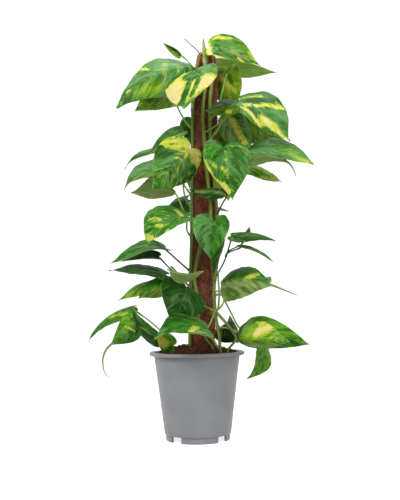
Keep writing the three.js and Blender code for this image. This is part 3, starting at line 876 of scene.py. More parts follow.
def tube(name: str, route: np.ndarray, radii: np.ndarray, sides: int,
         groove: float = 0.0) -> bpy.types.Object:
    """Makes a closed round tube along a route.

    Args:
        name: The object's name.
        route: The centre's points, evenly spaced, in millimetres.
        radii: The radius at each point.
        sides: How many sides the section has.
        groove: The share by which a channel on one side is drawn in.

    Returns:
        The tube, with its weave attribute: the way round, the way along and the length in millimetres.
    """
    count = len(route)
    piece, across, along = sheet(name, sides, count + 1)
    tangents = unit(np.gradient(route, axis=0))
    side = np.cross(tangents[0], [0.0, 1.0, 0.0])
    if np.linalg.norm(side) < 0.1:
        side = np.cross(tangents[0], [1.0, 0.0, 0.0])
    sidewards = [unit(side)]
    for tangent in tangents[1:]:
        carried = sidewards[-1] - tangent * (sidewards[-1] @ tangent)
        sidewards.append(unit(carried))
    sidewards = np.array(sidewards)
    upwards = np.cross(tangents, sidewards)
    ring = np.rint(along * (count + 1)).astype(int)
    capped = (ring == 0) | (ring == count + 1)
    spot = np.clip(ring - 1, 0, count - 1)
    angle = math.pi * across
    radius = np.where(capped, 0.0, radii[spot]) * (1 - groove * np.exp(-((angle - 1.2) / 0.6) ** 2))
    points = (route[spot] + sidewards[spot] * (radius * np.cos(angle))[:, None]
              + upwards[spot] * (radius * np.sin(angle))[:, None])
    move_points(piece, points * MM)
    length = np.concatenate([[0.0], np.cumsum(np.linalg.norm(np.diff(route, axis=0), axis=1))])
    store(piece, "weave", np.stack([np.cos(angle), length[spot] / 10, np.sin(angle)], axis=1))
    close(piece, outward=True)
    return piece


def pole_axis(height: np.ndarray | float) -> np.ndarray | float:
    """The leaning pole's centre in x at a height."""
    return POLE_OFFSET + POLE_LEAN * (height - POT_HEIGHT)


def around_pole(radius: np.ndarray | float, angle: np.ndarray | float, height: np.ndarray) -> np.ndarray:
    """Points at a distance from the leaning pole's centre.

    Args:
        radius: The distance.
        angle: The way round.
        height: The height.

    Returns:
        The points, with the three parts of each in the last axis.
    """
    y = np.zeros_like(height) + radius * np.sin(angle)
    return np.stack([pole_axis(height) + radius * np.cos(angle), y, height], axis=-1)


def soil_height(x: np.ndarray, y: np.ndarray) -> np.ndarray:
    """The soil's surface, which is highest at the pole and gently uneven.

    Args:
        x: The places in x.
        y: The places in y.

    Returns:
        The height at each place.
    """
    crown = np.interp(np.hypot(x, y), SOIL_RADII, SOIL_HEIGHTS)
    return crown + 1.4 * np.sin(x * 0.31 + 1) * np.cos(y * 0.27) + 0.8 * np.sin(x * 0.12 - y * 0.4)


# Leaves

# Half outline of a blade, from the stalk's notch to the tip: shares of the length along and across
HALF_OUTLINE = np.array([
    (0, 0), (-0.08, 0.05), (-0.135, 0.16), (-0.09, 0.3), (0.08, 0.41), (0.3, 0.43),
    (0.54, 0.34), (0.76, 0.18), (0.9, 0.065), (1, 0),
])
OUTLINE_HALF_WIDTH = 0.43
# Powers that draw a blade's columns to the midrib and its rows to the stalk
COLUMN_POWER = 1.12
ROW_POWER = 1.4
# Relief of a blade in shares of its width: waves of the margin, ripples on them, swellings between the
# side veins, and the channel over the midrib with the channel's half width
WAVE = 0.02
RIPPLE = 0.006
QUILT = 0.005
CHANNEL = 0.012
CHANNEL_REACH = 0.03
# Half the share of the length across which one half's green goes over into the other's
MIDRIB_BLEND = 0.025


def vein_number(along: np.ndarray, across: np.ndarray) -> tuple[np.ndarray, np.ndarray]:
    """Finds on which side vein each point of a flat blade lies.

    The veins fan out from the stalk into the lobes, and further on leave the midrib at a slant and bend
    to the tip.

    Args:
        along: Shares of the length along the midrib.
        across: Shares of the length across, without sign.

    Returns:
        The vein's number, from 0 in the lobe to 1 at the tip, and the way along it.
    """
    numbers = np.linspace(0, 1, 161)
    roots = 0.93 * np.clip((numbers - 0.28) / 0.72, 0, 1) ** 1.05
    leaving = np.where(numbers < 0.28, np.interp(numbers, [0, 0.28], [175, 66]),
                       np.interp(numbers, [0.28, 1], [66, 30]))
    run = along[:, None] - roots
    rise = np.maximum(across, 2e-3)[:, None] * np.ones_like(run)
    reach = np.hypot(run, rise)
    miss = np.arctan2(rise, run) + 0.75 * reach - np.radians(leaving)
    right = np.argmax(miss > 0, axis=1)
    right = np.where(miss.max(axis=1) <= 0, len(numbers) - 1, np.maximum(right, 1))
    rows = np.arange(len(along))
    low, high = miss[rows, right - 1], miss[rows, right]
    share = np.clip(-low / np.where(high == low, 1, high - low), 0, 1)
    number = numbers[right - 1] + share * (numbers[right] - numbers[right - 1])
    root = np.interp(number, numbers, roots)
    return number, np.hypot(along - root, across)


@dataclass(frozen=True)
class Streak:
    """A stroke of another colour on a blade: its two ends along and across, its width and its paint.

    Painted with a tone, it changes the green: such strokes are partly patches of the leaf's own green and
    partly painted light, the grey-green ones being painted sheen and some dark ones painted shade. Painted
    with a number, it changes the marbling: 0 or less is green, 0.65 is lime, 0.9 yellow and 1.4 cream.
    """

    start: Pair
    stop: Pair
    width: float
    paint: float | Tone

    def cover(self, along: np.ndarray, across: np.ndarray) -> np.ndarray:
        """Finds how much of the stroke lies on each point.

        Args:
            along: Shares along the midrib.
            across: Signed shares across.

        Returns:
            The cover from 0 to 1.
        """
        start, run = np.array(self.start), np.array(self.stop) - np.array(self.start)
        offset = np.stack([along, across], axis=1) - start
        share = np.clip(offset @ run / max(run @ run, 1e-6), 0, 1)
        gap = np.linalg.norm(offset - share[:, None] * run, axis=1)
        return np.clip(1.35 - 0.8 * gap / self.width, 0, 1)


@dataclass(frozen=True)
class Leaf:
    """A heart-shaped leaf and its stalk.

    root is the stem that it leaves and height is where, or root is a point of its own. base and tip are
    the midrib's ends, and faces is the way the upper side looks. arch lifts the midrib off its chord near
    the stalk and near the tip, in shares of its length. fold raises the two halves in degrees, roll bends
    them down towards the margin, lobes and halves stretch the lobes and the two halves, and tones colours
    the halves, with painted light and shade where one half faces the light and the other turns from it;
    stalk is the stalk's green, the darkest one being painted shade. The stalk passes via, and drip leads a
    long fine tip on.
    """

    piece: str
    root: Stem | Point
    height: float
    base: Point
    tip: Point
    faces: Point
    width: float
    arch: Pair = (0.1, 0.06)
    fold: Pair = (6, 6)
    roll: float = 14
    lobes: float = 1.0
    halves: Pair = (1, 1)
    via: tuple[Point, ...] = ()
    drip: tuple[Point, ...] = ()
    tones: tuple[Tone, Tone] = (Tone.MID, Tone.MID)
    stalk: Tone | None = None
    marbling: float = 0.0
    streaks: tuple[Streak, ...] = ()

    @property
    def length(self) -> float:
        """The distance from the stalk to the tip."""
        return math.dist(self.base, self.tip)

    @property
    def seed(self) -> float:
        """A number that sets this leaf's pattern apart from the others'."""
        return (self.base[0] * 0.37 + self.base[1] * 0.91 + self.base[2] * 0.53) % 50

    def frame_at(self, share: np.ndarray) -> tuple[np.ndarray, np.ndarray, np.ndarray, np.ndarray]:
        """The midrib's place and directions.

        Args:
            share: Shares of the way along the midrib; below 0 they go on straight behind the stalk.

        Returns:
            For each share the point, the way to the tip, the way the upper side looks and the way across.
        """
        base, tip = np.array(self.base, float), np.array(self.tip, float)
        chord = tip - base
        along = unit(chord)
        facing = np.array(self.faces, float)
        facing = unit(facing - along * (facing @ along))
        rise, fall = (part * self.length * 4 / 3 for part in self.arch)
        corners = np.array([base, base + chord / 3 + facing * rise, tip - chord / 3 + facing * fall, tip])
        held = np.clip(share, 0, 1)
        t = held[:, None]
        slope = ((1 - t) ** 2 * (corners[1] - corners[0]) + 2 * (1 - t) * t * (corners[2] - corners[1])
                 + t**2 * (corners[3] - corners[2]))
        tangent = unit(slope)
        point = bezier(corners, held) + tangent * (np.minimum(share, 0) * self.length)[:, None]
        normal = unit(facing - tangent * (tangent @ facing)[:, None])
        return point, tangent, normal, np.cross(tangent, normal)


@dataclass
class LeafMaker:
    """Builds a leaf's blade, stalk and drip tip as one piece."""

    skin: bpy.types.Material
    underside: bpy.types.Material
    stalk_skin: bpy.types.Material
    stems: "StemRoutes"
    outline: np.ndarray = field(init=False)

    def __post_init__(self) -> None:
        """Reads the outline evenly along its edge."""
        spread = np.pad(HALF_OUTLINE, ((0, 0), (0, 1)))
        dense = catmull(spread, np.linspace(0, 1, 241))
        dense[:, 1] = np.maximum(dense[:, 1], 0)
        self.outline = even(dense, 201)[:, :2]

    def blade(self, leaf: Leaf) -> bpy.types.Object:
        """Makes the blade from a grid whose rows run from edge to edge over the midrib.

        Args:
            leaf: The leaf.

        Returns:
            The blade's object.
        """
        piece, across, share = sheet(f"{leaf.piece}_blade", BLADE_COLUMNS, BLADE_ROWS)
        hand = np.where(across < 0, -1.0, 1.0)
        edge = np.abs(across) ** COLUMN_POWER
        places = np.linspace(0, 1, len(self.outline))
        edge_along = np.interp(share, places, self.outline[:, 0])
        edge_along = np.where(edge_along < 0, edge_along * leaf.lobes, edge_along)
        edge_across = np.interp(share, places, self.outline[:, 1])
        rib = share**ROW_POWER
        along = rib + (edge_along - rib) * edge
        out = edge_across * edge
        number, reach_on_vein = vein_number(along, out)
        point, _, normal, side = leaf.frame_at(along)
        half = leaf.width / 2
        reach = out / OUTLINE_HALF_WIDTH * half * np.where(hand < 0, leaf.halves[0], leaf.halves[1])
        fold = np.radians(np.where(hand < 0, leaf.fold[0], leaf.fold[1]))
        roll = -math.radians(leaf.roll) / half
        turn = fold + roll * reach
        sideways = (np.sin(turn) - np.sin(fold)) / roll
        up = (np.cos(fold) - np.cos(turn)) / roll
        up += WAVE * leaf.width * edge**2 * np.sin(9 * along + 1.7 * hand + leaf.width)
        up += RIPPLE * leaf.width * edge**3 * np.sin(31 * along + leaf.seed + hand)
        quilt = QUILT * leaf.width * np.abs(np.sin(math.pi * VEIN_PAIRS * number)) ** 0.7
        up += quilt * np.sin(math.pi * edge) ** 0.6
        up -= CHANNEL * leaf.width * np.exp(-((reach / (CHANNEL_REACH * leaf.width)) ** 2)) * (1 - share)
        move_points(piece, (point + side * (hand * sideways)[:, None] + normal * up[:, None]) * MM)
        self.paint(piece, leaf, along, hand * out, number, reach_on_vein)
        store(piece, "rim", edge)
        close(piece)
        piece.data.materials.append(self.skin)
        piece.data.materials.append(self.underside)
        body = piece.modifiers.new("body", "SOLIDIFY")
        body.thickness = BLADE_THICKNESS * MM
        body.offset = 0
        body.material_offset = 1
        body.material_offset_rim = 1
        apply_modifiers(piece)
        return piece

    def paint(self, piece: bpy.types.Object, leaf: Leaf, along: np.ndarray, across: np.ndarray,
              number: np.ndarray, reach: np.ndarray) -> None:
        """Writes the blade's colours and pattern places.

        Args:
            piece: The blade.
            leaf: The leaf.
            along: Shares along the midrib.
            across: Signed shares across.
            number: The side veins' numbers.
            reach: The way along the side veins.
        """
        # The two halves' greens hold painted light and shade where one half faces the light and the other
        # turns from it
        first, second = (pigment(tone.value) for tone in leaf.tones)
        ground = blend(first, second, ramp(across, -MIDRIB_BLEND, MIDRIB_BLEND))
        marbling = np.full(len(along), leaf.marbling)
        for streak in leaf.streaks:
            cover = streak.cover(along, across)
            # Tone strokes paint the green: the grey-green ones are painted sheen, and some dark ones are
            # painted shade
            if isinstance(streak.paint, Tone):
                ground += (pigment(streak.paint.value) - ground) * cover[:, None]
            else:
                marbling += (streak.paint - marbling) * cover
        store(piece, "ground", ground)
        store(piece, "marbling", marbling)
        store(piece, "weave", np.stack([number, reach, across + leaf.seed], axis=1))

    def stalk_route(self, leaf: Leaf) -> np.ndarray:
        """Finds the stalk's centre, from its root to just inside the blade.

        Args:
            leaf: The leaf.

        Returns:
            The centre's points.
        """
        point, tangent, normal, _ = (part[0] for part in leaf.frame_at(np.zeros(1)))
        end = point + STALK_INSIDE * tangent - STALK_BELOW * normal
        on_stem = isinstance(leaf.root, Stem)
        start = self.stems.centre(leaf.root, leaf.height) if on_stem else np.array(leaf.root)
        shares = np.linspace(0, 1, 121)
        if leaf.via:
            return even(catmull(np.array([start, *leaf.via, point, end], float), shares), STALK_STEPS)
        reach = math.dist(start, point)
        outward = np.array([0.0, 0.0, 1.0])
        if on_stem:
            outward = unit(0.7 * outward + unit(np.array([start[0] - pole_axis(start[2]), start[1], 0.0])))
        arrival = unit(0.8 * normal + 0.5 * tangent)
        corners = np.array([start, start + 0.35 * reach * outward, point - 0.3 * reach * arrival, end])
        return even(bezier(corners, shares), STALK_STEPS)

    def stalk(self, leaf: Leaf) -> bpy.types.Object:
        """Makes the stalk: wide where it clasps the stem, with a knee below the blade.

        Args:
            leaf: The leaf.

        Returns:
            The stalk's object.
        """
        route = self.stalk_route(leaf)
        share = np.linspace(0, 1, len(route))
        radii = STALK_RADIUS + CLASP_SWELL * np.exp(-((share / 0.1) ** 2))
        radii += KNEE_SWELL * np.exp(-(((share - KNEE_PLACE) / 0.07) ** 2))
        radii *= np.where(share > 0.95, 0.8, 1.0) * (0.75 + 0.25 * min(1.0, leaf.width / 60))
        piece = tube(f"{leaf.piece}_stalk", route, radii, STALK_SIDES, groove=0.3)
        return self.dress(piece, leaf)

    def drip(self, leaf: Leaf) -> bpy.types.Object:
        """Makes the long fine point that some blades run out into.

        Args:
            leaf: The leaf.

        Returns:
            The point's object.
        """
        start = leaf.frame_at(np.array([DRIP_START]))[0][0]
        points = np.array([start, leaf.tip, *leaf.drip], float)
        route = even(catmull(points, np.linspace(0, 1, 81)), DRIP_STEPS)
        piece = tube(f"{leaf.piece}_drip", route, np.linspace(*DRIP_RADII, DRIP_STEPS), DRIP_SIDES)
        return self.dress(piece, leaf)

    def dress(self, piece: bpy.types.Object, leaf: Leaf) -> bpy.types.Object:
        """Gives a stalk its ground colour, paler than its leaf unless the leaf says which, and its skin.

        Args:
            piece: The stalk.
            leaf: Its leaf.

        Returns:
            The stalk.
        """
        paler = blend(pigment(leaf.tones[0].value), pigment("a9bd55"), 0.55)
        # A leaf that names the darkest green for its stalk gets painted shade there
        tint(piece, pigment(leaf.stalk.value) if leaf.stalk else paler)
        piece.data.materials.append(self.stalk_skin)
        return piece

    def build(self, name: str, leaves: list[Leaf]) -> bpy.types.Object:
        """Makes all leaves of one piece and joins them.

        Args:
            name: The piece's name, which is the node's.
            leaves: Its leaves.

        Returns:
            The joined piece.
        """
        parts = []
        for leaf in leaves:
            parts += [self.blade(leaf), self.stalk(leaf)]
            if leaf.drip:
                parts.append(self.drip(leaf))
        piece = fuse(f"{name}_fine", parts)
        smooth(piece, 60)
        varied = any(leaf.marbling >= 0.4 or len(leaf.streaks) > 1 for leaf in leaves)
        return settle(piece, Slot.VARIEGATED if varied else Slot.GREEN, name)


# Leaves by where they are: top, right, middle, left, low, and last the side away from the viewer
# Grey-green tone strokes on the blades are painted sheen, and the halves' greens carry painted light and
# shade
LEAVES = (
    Leaf("leaf_top_left_large", Stem.LEFT, 545, (-4, -33, 590), (-118, -66, 513), (-0.07, -0.84, 0.54), 92,
        arch=(0.17, 0.14), fold=(-25, -6), lobes=0.9, halves=(1.08, 0.97), marbling=0.22, streaks=(
            Streak((0.82, 0.12), (0.45, -0.02), 0.23, Tone.GREY_AND_SHEEN),
            Streak((0.26, -0.04), (-0.07, 0.06), 0.12, Tone.GREY_AND_SHEEN),
            Streak((0.32, 0.41), (0.2, 0.26), 0.04, Tone.LIME),
            Streak((0.69, -0.09), (0.5, -0.18), 0.08, Tone.LIME),
            Streak((0.25, 0.15), (0.48, -0.24), 0.03, Tone.PALE),
            Streak((0.5, 0.35), (0.46, 0.17), 0.02, 1.1),
            Streak((0.8, 0.07), (0.8, 0.03), 0.02, 0.9),
        )),
    Leaf("leaf_top_left_under", Stem.LEFT, 492, (-27, -8, 549), (-94, -38, 515), (0.06, -0.92, 0.39), 57,
        arch=(0.15, 0.07), fold=(7, 15), roll=3, halves=(0.97, 1.12), tones=(Tone.LIME, Tone.LIME),
        marbling=0.5, streaks=(
            Streak((0.78, 0.16), (0.82, 0.07), 0.08, Tone.LIME),
            Streak((0.74, 0.09), (0.38, -0.17), 0.06, Tone.GREY_AND_SHEEN),
            Streak((0.82, -0.01), (0.27, -0.37), 0.1, Tone.BRIGHT),
            Streak((0.65, 0.16), (0.35, -0.04), 0.05, Tone.OLIVE),
            Streak((0.95, 0.01), (0.95, -0.03), 0.06, Tone.DEEP),
        )),
    Leaf("leaf_top_front_cream", Stem.LEFT, 525, (3, -85, 562), (-14, -125, 493), (-0.39, -0.79, 0.47), 85,
        arch=(0.07, -0.09), fold=(16, 3), roll=25, lobes=0.7, halves=(1, 1.12),
        via=((0, -34, 528), (4, -68, 541)), tones=(Tone.BRIGHT, Tone.MID), marbling=0.3, streaks=(
            Streak((0.12, -0.17), (0.27, -0.39), 0.22, Tone.GREY_AND_SHEEN),
            Streak((0.47, 0.36), (0.23, 0.08), 0.16, 1.45),
            Streak((0.23, 0.08), (0.43, -0.3), 0.14, 1.25),
            Streak((0.68, 0.22), (0.55, -0.07), 0.14, 1.4),
            Streak((0.07, 0.24), (0.17, 0.0), 0.08, 1),
            Streak((0.5, -0.13), (0.38, -0.31), 0.1, 1.55),
            Streak((0.45, 0.35), (0.63, 0.25), 0.1, 1.7),
            Streak((0.36, 0.02), (0.8, 0.08), 0.04, -0.5),
            Streak((0.34, -0.15), (0.65, -0.07), 0.04, -0.4),
            Streak((0.15, -0.02), (0.07, -0.2), 0.12, -0.6),
        )),
    Leaf("leaf_top_left_young", Stem.BACK, 575, (-22, 24, 629), (-51, 32, 655), (-0.7, -0.71, -0.11), 14,
        arch=(-0.01, 0.02), fold=(24, 32), roll=37, lobes=0.7, halves=(0.9, 0.87),
        tones=(Tone.LIME, Tone.DEEP)),
    Leaf("leaf_top_right_large", Stem.RIGHT, 580, (28.3, -37, 620), (105, -63, 578), (0.09, -0.95, 0.31),
        67, arch=(0.16, 0.05), fold=(14, 0), roll=7, lobes=0.7, halves=(0.75, 0.66),
        tones=(Tone.BRIGHT, Tone.MID), marbling=0.25, streaks=(
            Streak((-0.06, -0.07), (0.12, 0.37), 0.05, 1.5),
            Streak((0.01, -0.26), (0.29, -0.3), 0.05, 1),
            Streak((0.74, -0.16), (0.87, -0.07), 0.05, 0.95),
            Streak((0.63, 0.17), (0.74, 0.2), 0.03, 1.3),
            Streak((0.24, 0.43), (0.47, 0.38), 0.03, 1.2),
            Streak((0.14, 0.03), (0.45, 0.02), 0.14, Tone.GREY_AND_SHEEN),
            Streak((0.45, 0.02), (0.69, 0.02), 0.09, Tone.PALE),
        )),
    Leaf("leaf_top_right_under", Stem.BACK, 555, (41.5, 27, 611), (139.5, 9, 592), (-0.53, 0.51, 0.68), 38,
        arch=(-0.02, -0.02), fold=(-2, 2), roll=18, lobes=1.1, halves=(0.91, 0.99),
        tones=(Tone.LIME, Tone.LIME), marbling=0.1),
    Leaf("leaf_upper_right_hanging", Stem.BACK, 525, (55, -6, 586), (76, 21, 527), (-0.69, -0.71, 0.16), 60,
        arch=(0.22, 0.22), fold=(-6, -3), roll=7, lobes=1.7, halves=(1.01, 1.09),
        tones=(Tone.LIME, Tone.LIME), marbling=0.05,
        streaks=(Streak((0.05, 0.15), (0.41, -0.24), 0.06, 1.1),)),
    Leaf("leaf_right_large", Stem.RIGHT, 502, (76, -32, 534), (146, -78, 455), (0.61, -0.75, 0.27), 91,
        arch=(0.15, -0.04), fold=(14, -11), roll=5, lobes=1.4, halves=(1.13, 0.84), marbling=0.06, streaks=(
            Streak((-0.05, -0.02), (0.14, -0.22), 0.03, 0.75),
            Streak((0.11, 0.05), (0.29, -0.3), 0.06, Tone.DEEP),
            Streak((0.45, 0.31), (0.65, -0.24), 0.17, Tone.GREY_AND_SHEEN),
            Streak((0.18, 0.19), (0.42, -0.34), 0.05, 0.9),
            Streak((0.41, -0.24), (0.45, -0.33), 0.03, 1.4),
            Streak((0.24, 0.28), (0.61, 0.25), 0.04, 1.3),
            Streak((0.55, 0.1), (0.67, 0.04), 0.08, 1.4),
            Streak((0.69, 0.03), (0.95, 0.03), 0.05, 1),
        )),
    Leaf("leaf_front_small_dark", Stem.FRONT, 482, (64, -75, 513), (19, -80, 503), (0.13, -0.94, 0.31), 39,
        arch=(0.11, -0.1), fold=(-12, -14), roll=29, lobes=1.3, halves=(0.83, 1.04),
        via=((36, -50, 488), (54, -68, 498)), tones=(Tone.OLIVE, Tone.DEEP),
        streaks=(Streak((0.34, -0.23), (0.22, -0.28), 0.07, 1),)),
    Leaf("leaf_right_striped", Stem.RIGHT, 470, (64, -32, 510), (88, -46, 451), (0.03, -0.86, 0.5), 62,
        arch=(-0.07, -0.1), fold=(-17, -13), roll=38, lobes=0.8, halves=(0.98, 1.04),
        tones=(Tone.BRIGHT, Tone.MID), marbling=0.2, streaks=(
            Streak((0.04, 0.21), (0.5, 0.22), 0.15, Tone.PALE),
            Streak((-0.07, 0.07), (0.43, 0.08), 0.07, Tone.DEEP),
            Streak((0.1, 0.07), (0.78, 0.01), 0.07, 1.1),
        )),
    Leaf("leaf_right_shaded", Stem.BACK, 494, (77, 14, 526), (150, 24, 482), (-0.29, -0.76, 0.58), 78,
        arch=(0.07, -0.01), fold=(-26, -26), roll=17, lobes=0.8, halves=(0.89, 1.11),
        tones=(Tone.OLIVE, Tone.OLIVE), marbling=0.15),
    Leaf("leaf_right_far", Stem.RIGHT, 430, (88, -34, 453), (177, -108, 411), (0.05, -0.79, 0.61), 65,
        arch=(0.11, 0.05), fold=(9, 17), roll=21, halves=(1.08, 0.95), tones=(Tone.MID, Tone.GREY_AND_SHEEN),
        marbling=0.2, streaks=(
            Streak((0.42, 0.4), (0.59, 0.31), 0.12, Tone.GREY_AND_SHEEN),
            Streak((0.34, 0.42), (0.61, 0.24), 0.03, Tone.DEEP),
            Streak((0.57, -0.06), (0.84, 0.07), 0.08, Tone.LIME),
            Streak((-0.07, -0.15), (0.43, -0.3), 0.06, Tone.GREY_AND_SHEEN),
            Streak((0.8, 0.03), (0.98, 0.01), 0.05, 0.6),
        )),
    Leaf("leaf_right_far_under", Stem.BACK, 445, (92, 2, 444), (155, -4, 435), (0.02, 0.32, 0.95), 43,
        arch=(0.2, 0.17), fold=(8, 15), roll=27, halves=(1.02, 1.03), drip=((160, -4, 427), (164, -6, 415)),
        tones=(Tone.PALE, Tone.PALE), marbling=0.3),
    Leaf("leaf_right_narrow", Stem.BACK, 362, (88, 34, 440), (142, -2, 406), (0.25, -0.72, 0.65), 47,
        arch=(0.1, -0.04), fold=(-8, -9), roll=20, lobes=1.1, halves=(1, 0.83),
        tones=(Tone.LIME, Tone.BRIGHT), marbling=0.3, streaks=(
            Streak((0.57, 0.23), (0.93, -0.01), 0.07, 0.8),
            Streak((0.68, 0.25), (0.95, 0.03), 0.1, Tone.GREY_AND_SHEEN),
        )),
    Leaf("leaf_front_heart", Stem.RIGHT, 395, (45, -88, 444), (56, -112, 361), (-0.06, -0.79, 0.61), 70,
        arch=(0.09, -0.04), fold=(9, 30), roll=23, lobes=0.9, halves=(1.04, 1), marbling=0.2, streaks=(
            Streak((0.14, 0.29), (0.13, 0.15), 0.13, Tone.MID),
            Streak((0.17, -0.1), (0.29, -0.3), 0.11, Tone.MID),
            Streak((0.33, -0.07), (0.52, -0.33), 0.17, Tone.GREY_AND_SHEEN),
            Streak((0.11, -0.01), (0.63, 0.03), 0.02, 0.72),
            Streak((0.29, 0.41), (0.54, 0.34), 0.03, 1),
            Streak((0.59, 0.31), (0.87, 0.09), 0.03, 1),
            Streak((0.74, 0.15), (0.84, 0.06), 0.06, 1.2),
            Streak((0.28, 0.35), (0.41, 0.24), 0.04, 0.7),
            Streak((0.42, 0.1), (0.53, 0.04), 0.04, 0.8),
        )),
    Leaf("leaf_left_front_yellow", Stem.LEFT, 365, (-7, -62, 447), (-61, -108, 380), (0.15, -0.99, 0.04),
        93, arch=(0.06, -0.05), fold=(-25, 1), roll=21, lobes=1.6, halves=(0.83, 0.84), marbling=0.38,
        streaks=(
            Streak((0.23, 0.35), (-0.08, 0.16), 0.14, 0.9),
            Streak((-0.04, -0.02), (-0.05, -0.21), 0.1, 1.3),
            Streak((0.4, 0.34), (0.39, 0.23), 0.1, -0.4),
            Streak((0.4, 0.34), (0.39, 0.23), 0.1, Tone.DEEP),
            Streak((0.5, 0.09), (0.22, -0.06), 0.2, Tone.GREY_AND_SHEEN),
            Streak((0.05, -0.02), (0.43, -0.08), 0.02, 0.75),
        )),
    Leaf("leaf_left_upper_narrow", Stem.LEFT, 455, (-19, -20, 486), (-73, -36, 445), (-0.09, -0.97, 0.21),
        31, arch=(0.11, 0.06), fold=(26, 16), roll=20, lobes=0.9, halves=(0.65, 0.92),
        tones=(Tone.PALE, Tone.GREY_AND_SHEEN), marbling=0.1),
    Leaf("leaf_left_back_narrow", Stem.BACK, 430, (-42, 30, 478), (-116, 30, 438), (-0.47, -0.67, 0.57), 32,
        arch=(0.03, 0.2), fold=(12, 0), roll=36, halves=(0.86, 0.89), tones=(Tone.MID, Tone.GREY_AND_SHEEN),
        marbling=0.1),
    Leaf("leaf_left_middle_folded", Stem.LEFT, 385, (-39, 0, 442), (-112, -24, 393), (-0.63, -0.66, 0.41),
        58, arch=(-0.02, 0.17), fold=(9, 24), roll=23, lobes=1.1, halves=(0.96, 1),
        tones=(Tone.OLIVE, Tone.GREY_AND_SHEEN), marbling=0.15),
    Leaf("leaf_left_pale_under", Stem.LEFT, 342, (-37, 14, 400), (-103, -12, 390), (-0.8, 0.49, 0.34), 55,
        arch=(0.05, -0.1), fold=(17, 30), roll=8, lobes=0.7, halves=(1.01, 0.75),
        tones=(Tone.PALE, Tone.PALE), marbling=0.3),
    Leaf("leaf_left_variegated", Stem.LEFT, 318, (-11, -58, 344), (-73, -92, 296), (-0.47, -0.7, 0.54), 88,
        arch=(0.2, 0.17), fold=(8, 12), roll=10, lobes=1.5, halves=(0.87, 1.13), marbling=0.28, streaks=(
            Streak((0.02, 0.34), (0.09, 0.01), 0.04, 1),
            Streak((0.02, 0.06), (0.14, -0.25), 0.09, Tone.GREY_AND_SHEEN),
            Streak((0.57, 0.19), (0.5, 0.11), 0.04, 0.8),
            Streak((0.61, 0.03), (0.57, -0.08), 0.04, 0.9),
            Streak((0.63, -0.26), (0.61, -0.29), 0.03, 1),
            Streak((0.86, 0.06), (0.87, -0.09), 0.05, 0.9),
            Streak((0.19, 0.39), (0.01, 0.35), 0.11, -0.2),
            Streak((0.44, -0.18), (0.37, -0.37), 0.11, Tone.MID),
        )),
    Leaf("leaf_left_dark_back", Stem.BACK, 350, (-13, 26, 386), (-46, 68, 378), (-0.1, -0.85, 0.52), 50,
        arch=(-0.02, 0.13), fold=(-26, -8), roll=30, lobes=0.9, halves=(1.06, 0.92),
        tones=(Tone.DEEP, Tone.MID), marbling=0.1),
    Leaf("leaf_left_low_long", Stem.LEFT, 262, (-51, -14, 301), (-132, -38, 276), (0.08, -0.5, 0.86), 56,
        arch=(0.19, -0.01), fold=(20, 2), roll=10, lobes=0.8, via=((-28, -12, 280),), stalk=Tone.PAINTED_SHADE,
        marbling=0.08),
    Leaf("leaf_left_low_dark", Stem.LEFT, 238, (-61, 12, 289), (-123, 16, 281), (0.02, -0.87, 0.5), 26,
        arch=(0.17, 0.08), fold=(27, 18), roll=9, lobes=0.6, halves=(0.77, 0.75),
        via=((-26, 6, 252), (-43, 12, 270)), tones=(Tone.PAINTED_SHADE, Tone.DEEP), stalk=Tone.PAINTED_SHADE),
    Leaf("leaf_left_level", Stem.LEFT, 222, (-53, -14, 260), (-136, -24, 265), (0, -0.42, 0.91), 51,
        arch=(0.11, 0.03), fold=(5, 4), roll=18, lobes=1.1, via=((-30, -12, 244),),
        tones=(Tone.DEEP, Tone.DEEP)),
    Leaf("leaf_front_young_fold", Stem.LEFT, 236, (-34, -76, 261), (12, -84, 259), (0.42, 0.34, 0.84), 36,
        arch=(-0.1, -0.11), fold=(-12, -26), roll=16, halves=(1.13, 0.91), via=((-36, -38, 268),),
        tones=(Tone.PALE, Tone.GREY_AND_SHEEN), marbling=0.1),
    Leaf("leaf_front_bridge", Stem.RIGHT, 351, (46, -46, 387), (-10, -58, 387), (-0.07, -0.8, 0.59), 40,
        arch=(0.11, -0.11), fold=(-32, -30), roll=41, lobes=0.6, halves=(0.85, 0.9),
        via=((42, -37, 364), (50, -46, 378)), tones=(Tone.DEEP, Tone.DEEP), stalk=Tone.PAINTED_SHADE,
        streaks=(Streak((0.76, -0.06), (-0.11, -0.19), 0.05, Tone.PALE),)),
    Leaf("leaf_front_middle", Stem.FRONT, 300, (28, -88, 332), (23, -108, 273), (-0.17, -0.87, 0.45), 56,
        arch=(0.13, 0.1), fold=(18, 32), roll=16, lobes=1.4, halves=(0.95, 1.05),
        tones=(Tone.MID, Tone.GREY_AND_SHEEN), marbling=0.12),
    Leaf("leaf_right_hanging_dark", Stem.RIGHT, 268, (44, -46, 307), (26, -50, 255), (0.89, -0.45, 0.09),
        40, arch=(0.04, -0.02), fold=(-12, -2), roll=36, halves=(1.01, 1.09), tones=(Tone.DEEP, Tone.DEEP)),
    Leaf("shoot_right", Stem.RIGHT, 250, (59, -18, 317), (124, -46, 306), (0.51, -0.76, 0.41), 32,
        arch=(0, 0.07), fold=(3, 17), roll=24, lobes=0.6, halves=(0.89, 0.93),
        via=((40, -28, 267), (48, -24, 284)), tones=(Tone.GREY_AND_SHEEN, Tone.DEEP), stalk=Tone.PAINTED_SHADE, marbling=0.2),
    Leaf("shoot_right", (48, -24, 284), 0, (75, 4, 312), (90, 20, 337), (-0.88, -0.38, 0.29), 31,
        arch=(-0.04, 0.05), fold=(3, 5), roll=11, lobes=0.7, halves=(0.71, 1.09),
        tones=(Tone.GREY_AND_SHEEN, Tone.DEEP), stalk=Tone.PAINTED_SHADE, marbling=0.2),
    Leaf("shoot_right", (48, -24, 284), 0, (68, -22, 300), (120, -46, 273), (0.75, -0.59, 0.3), 27,
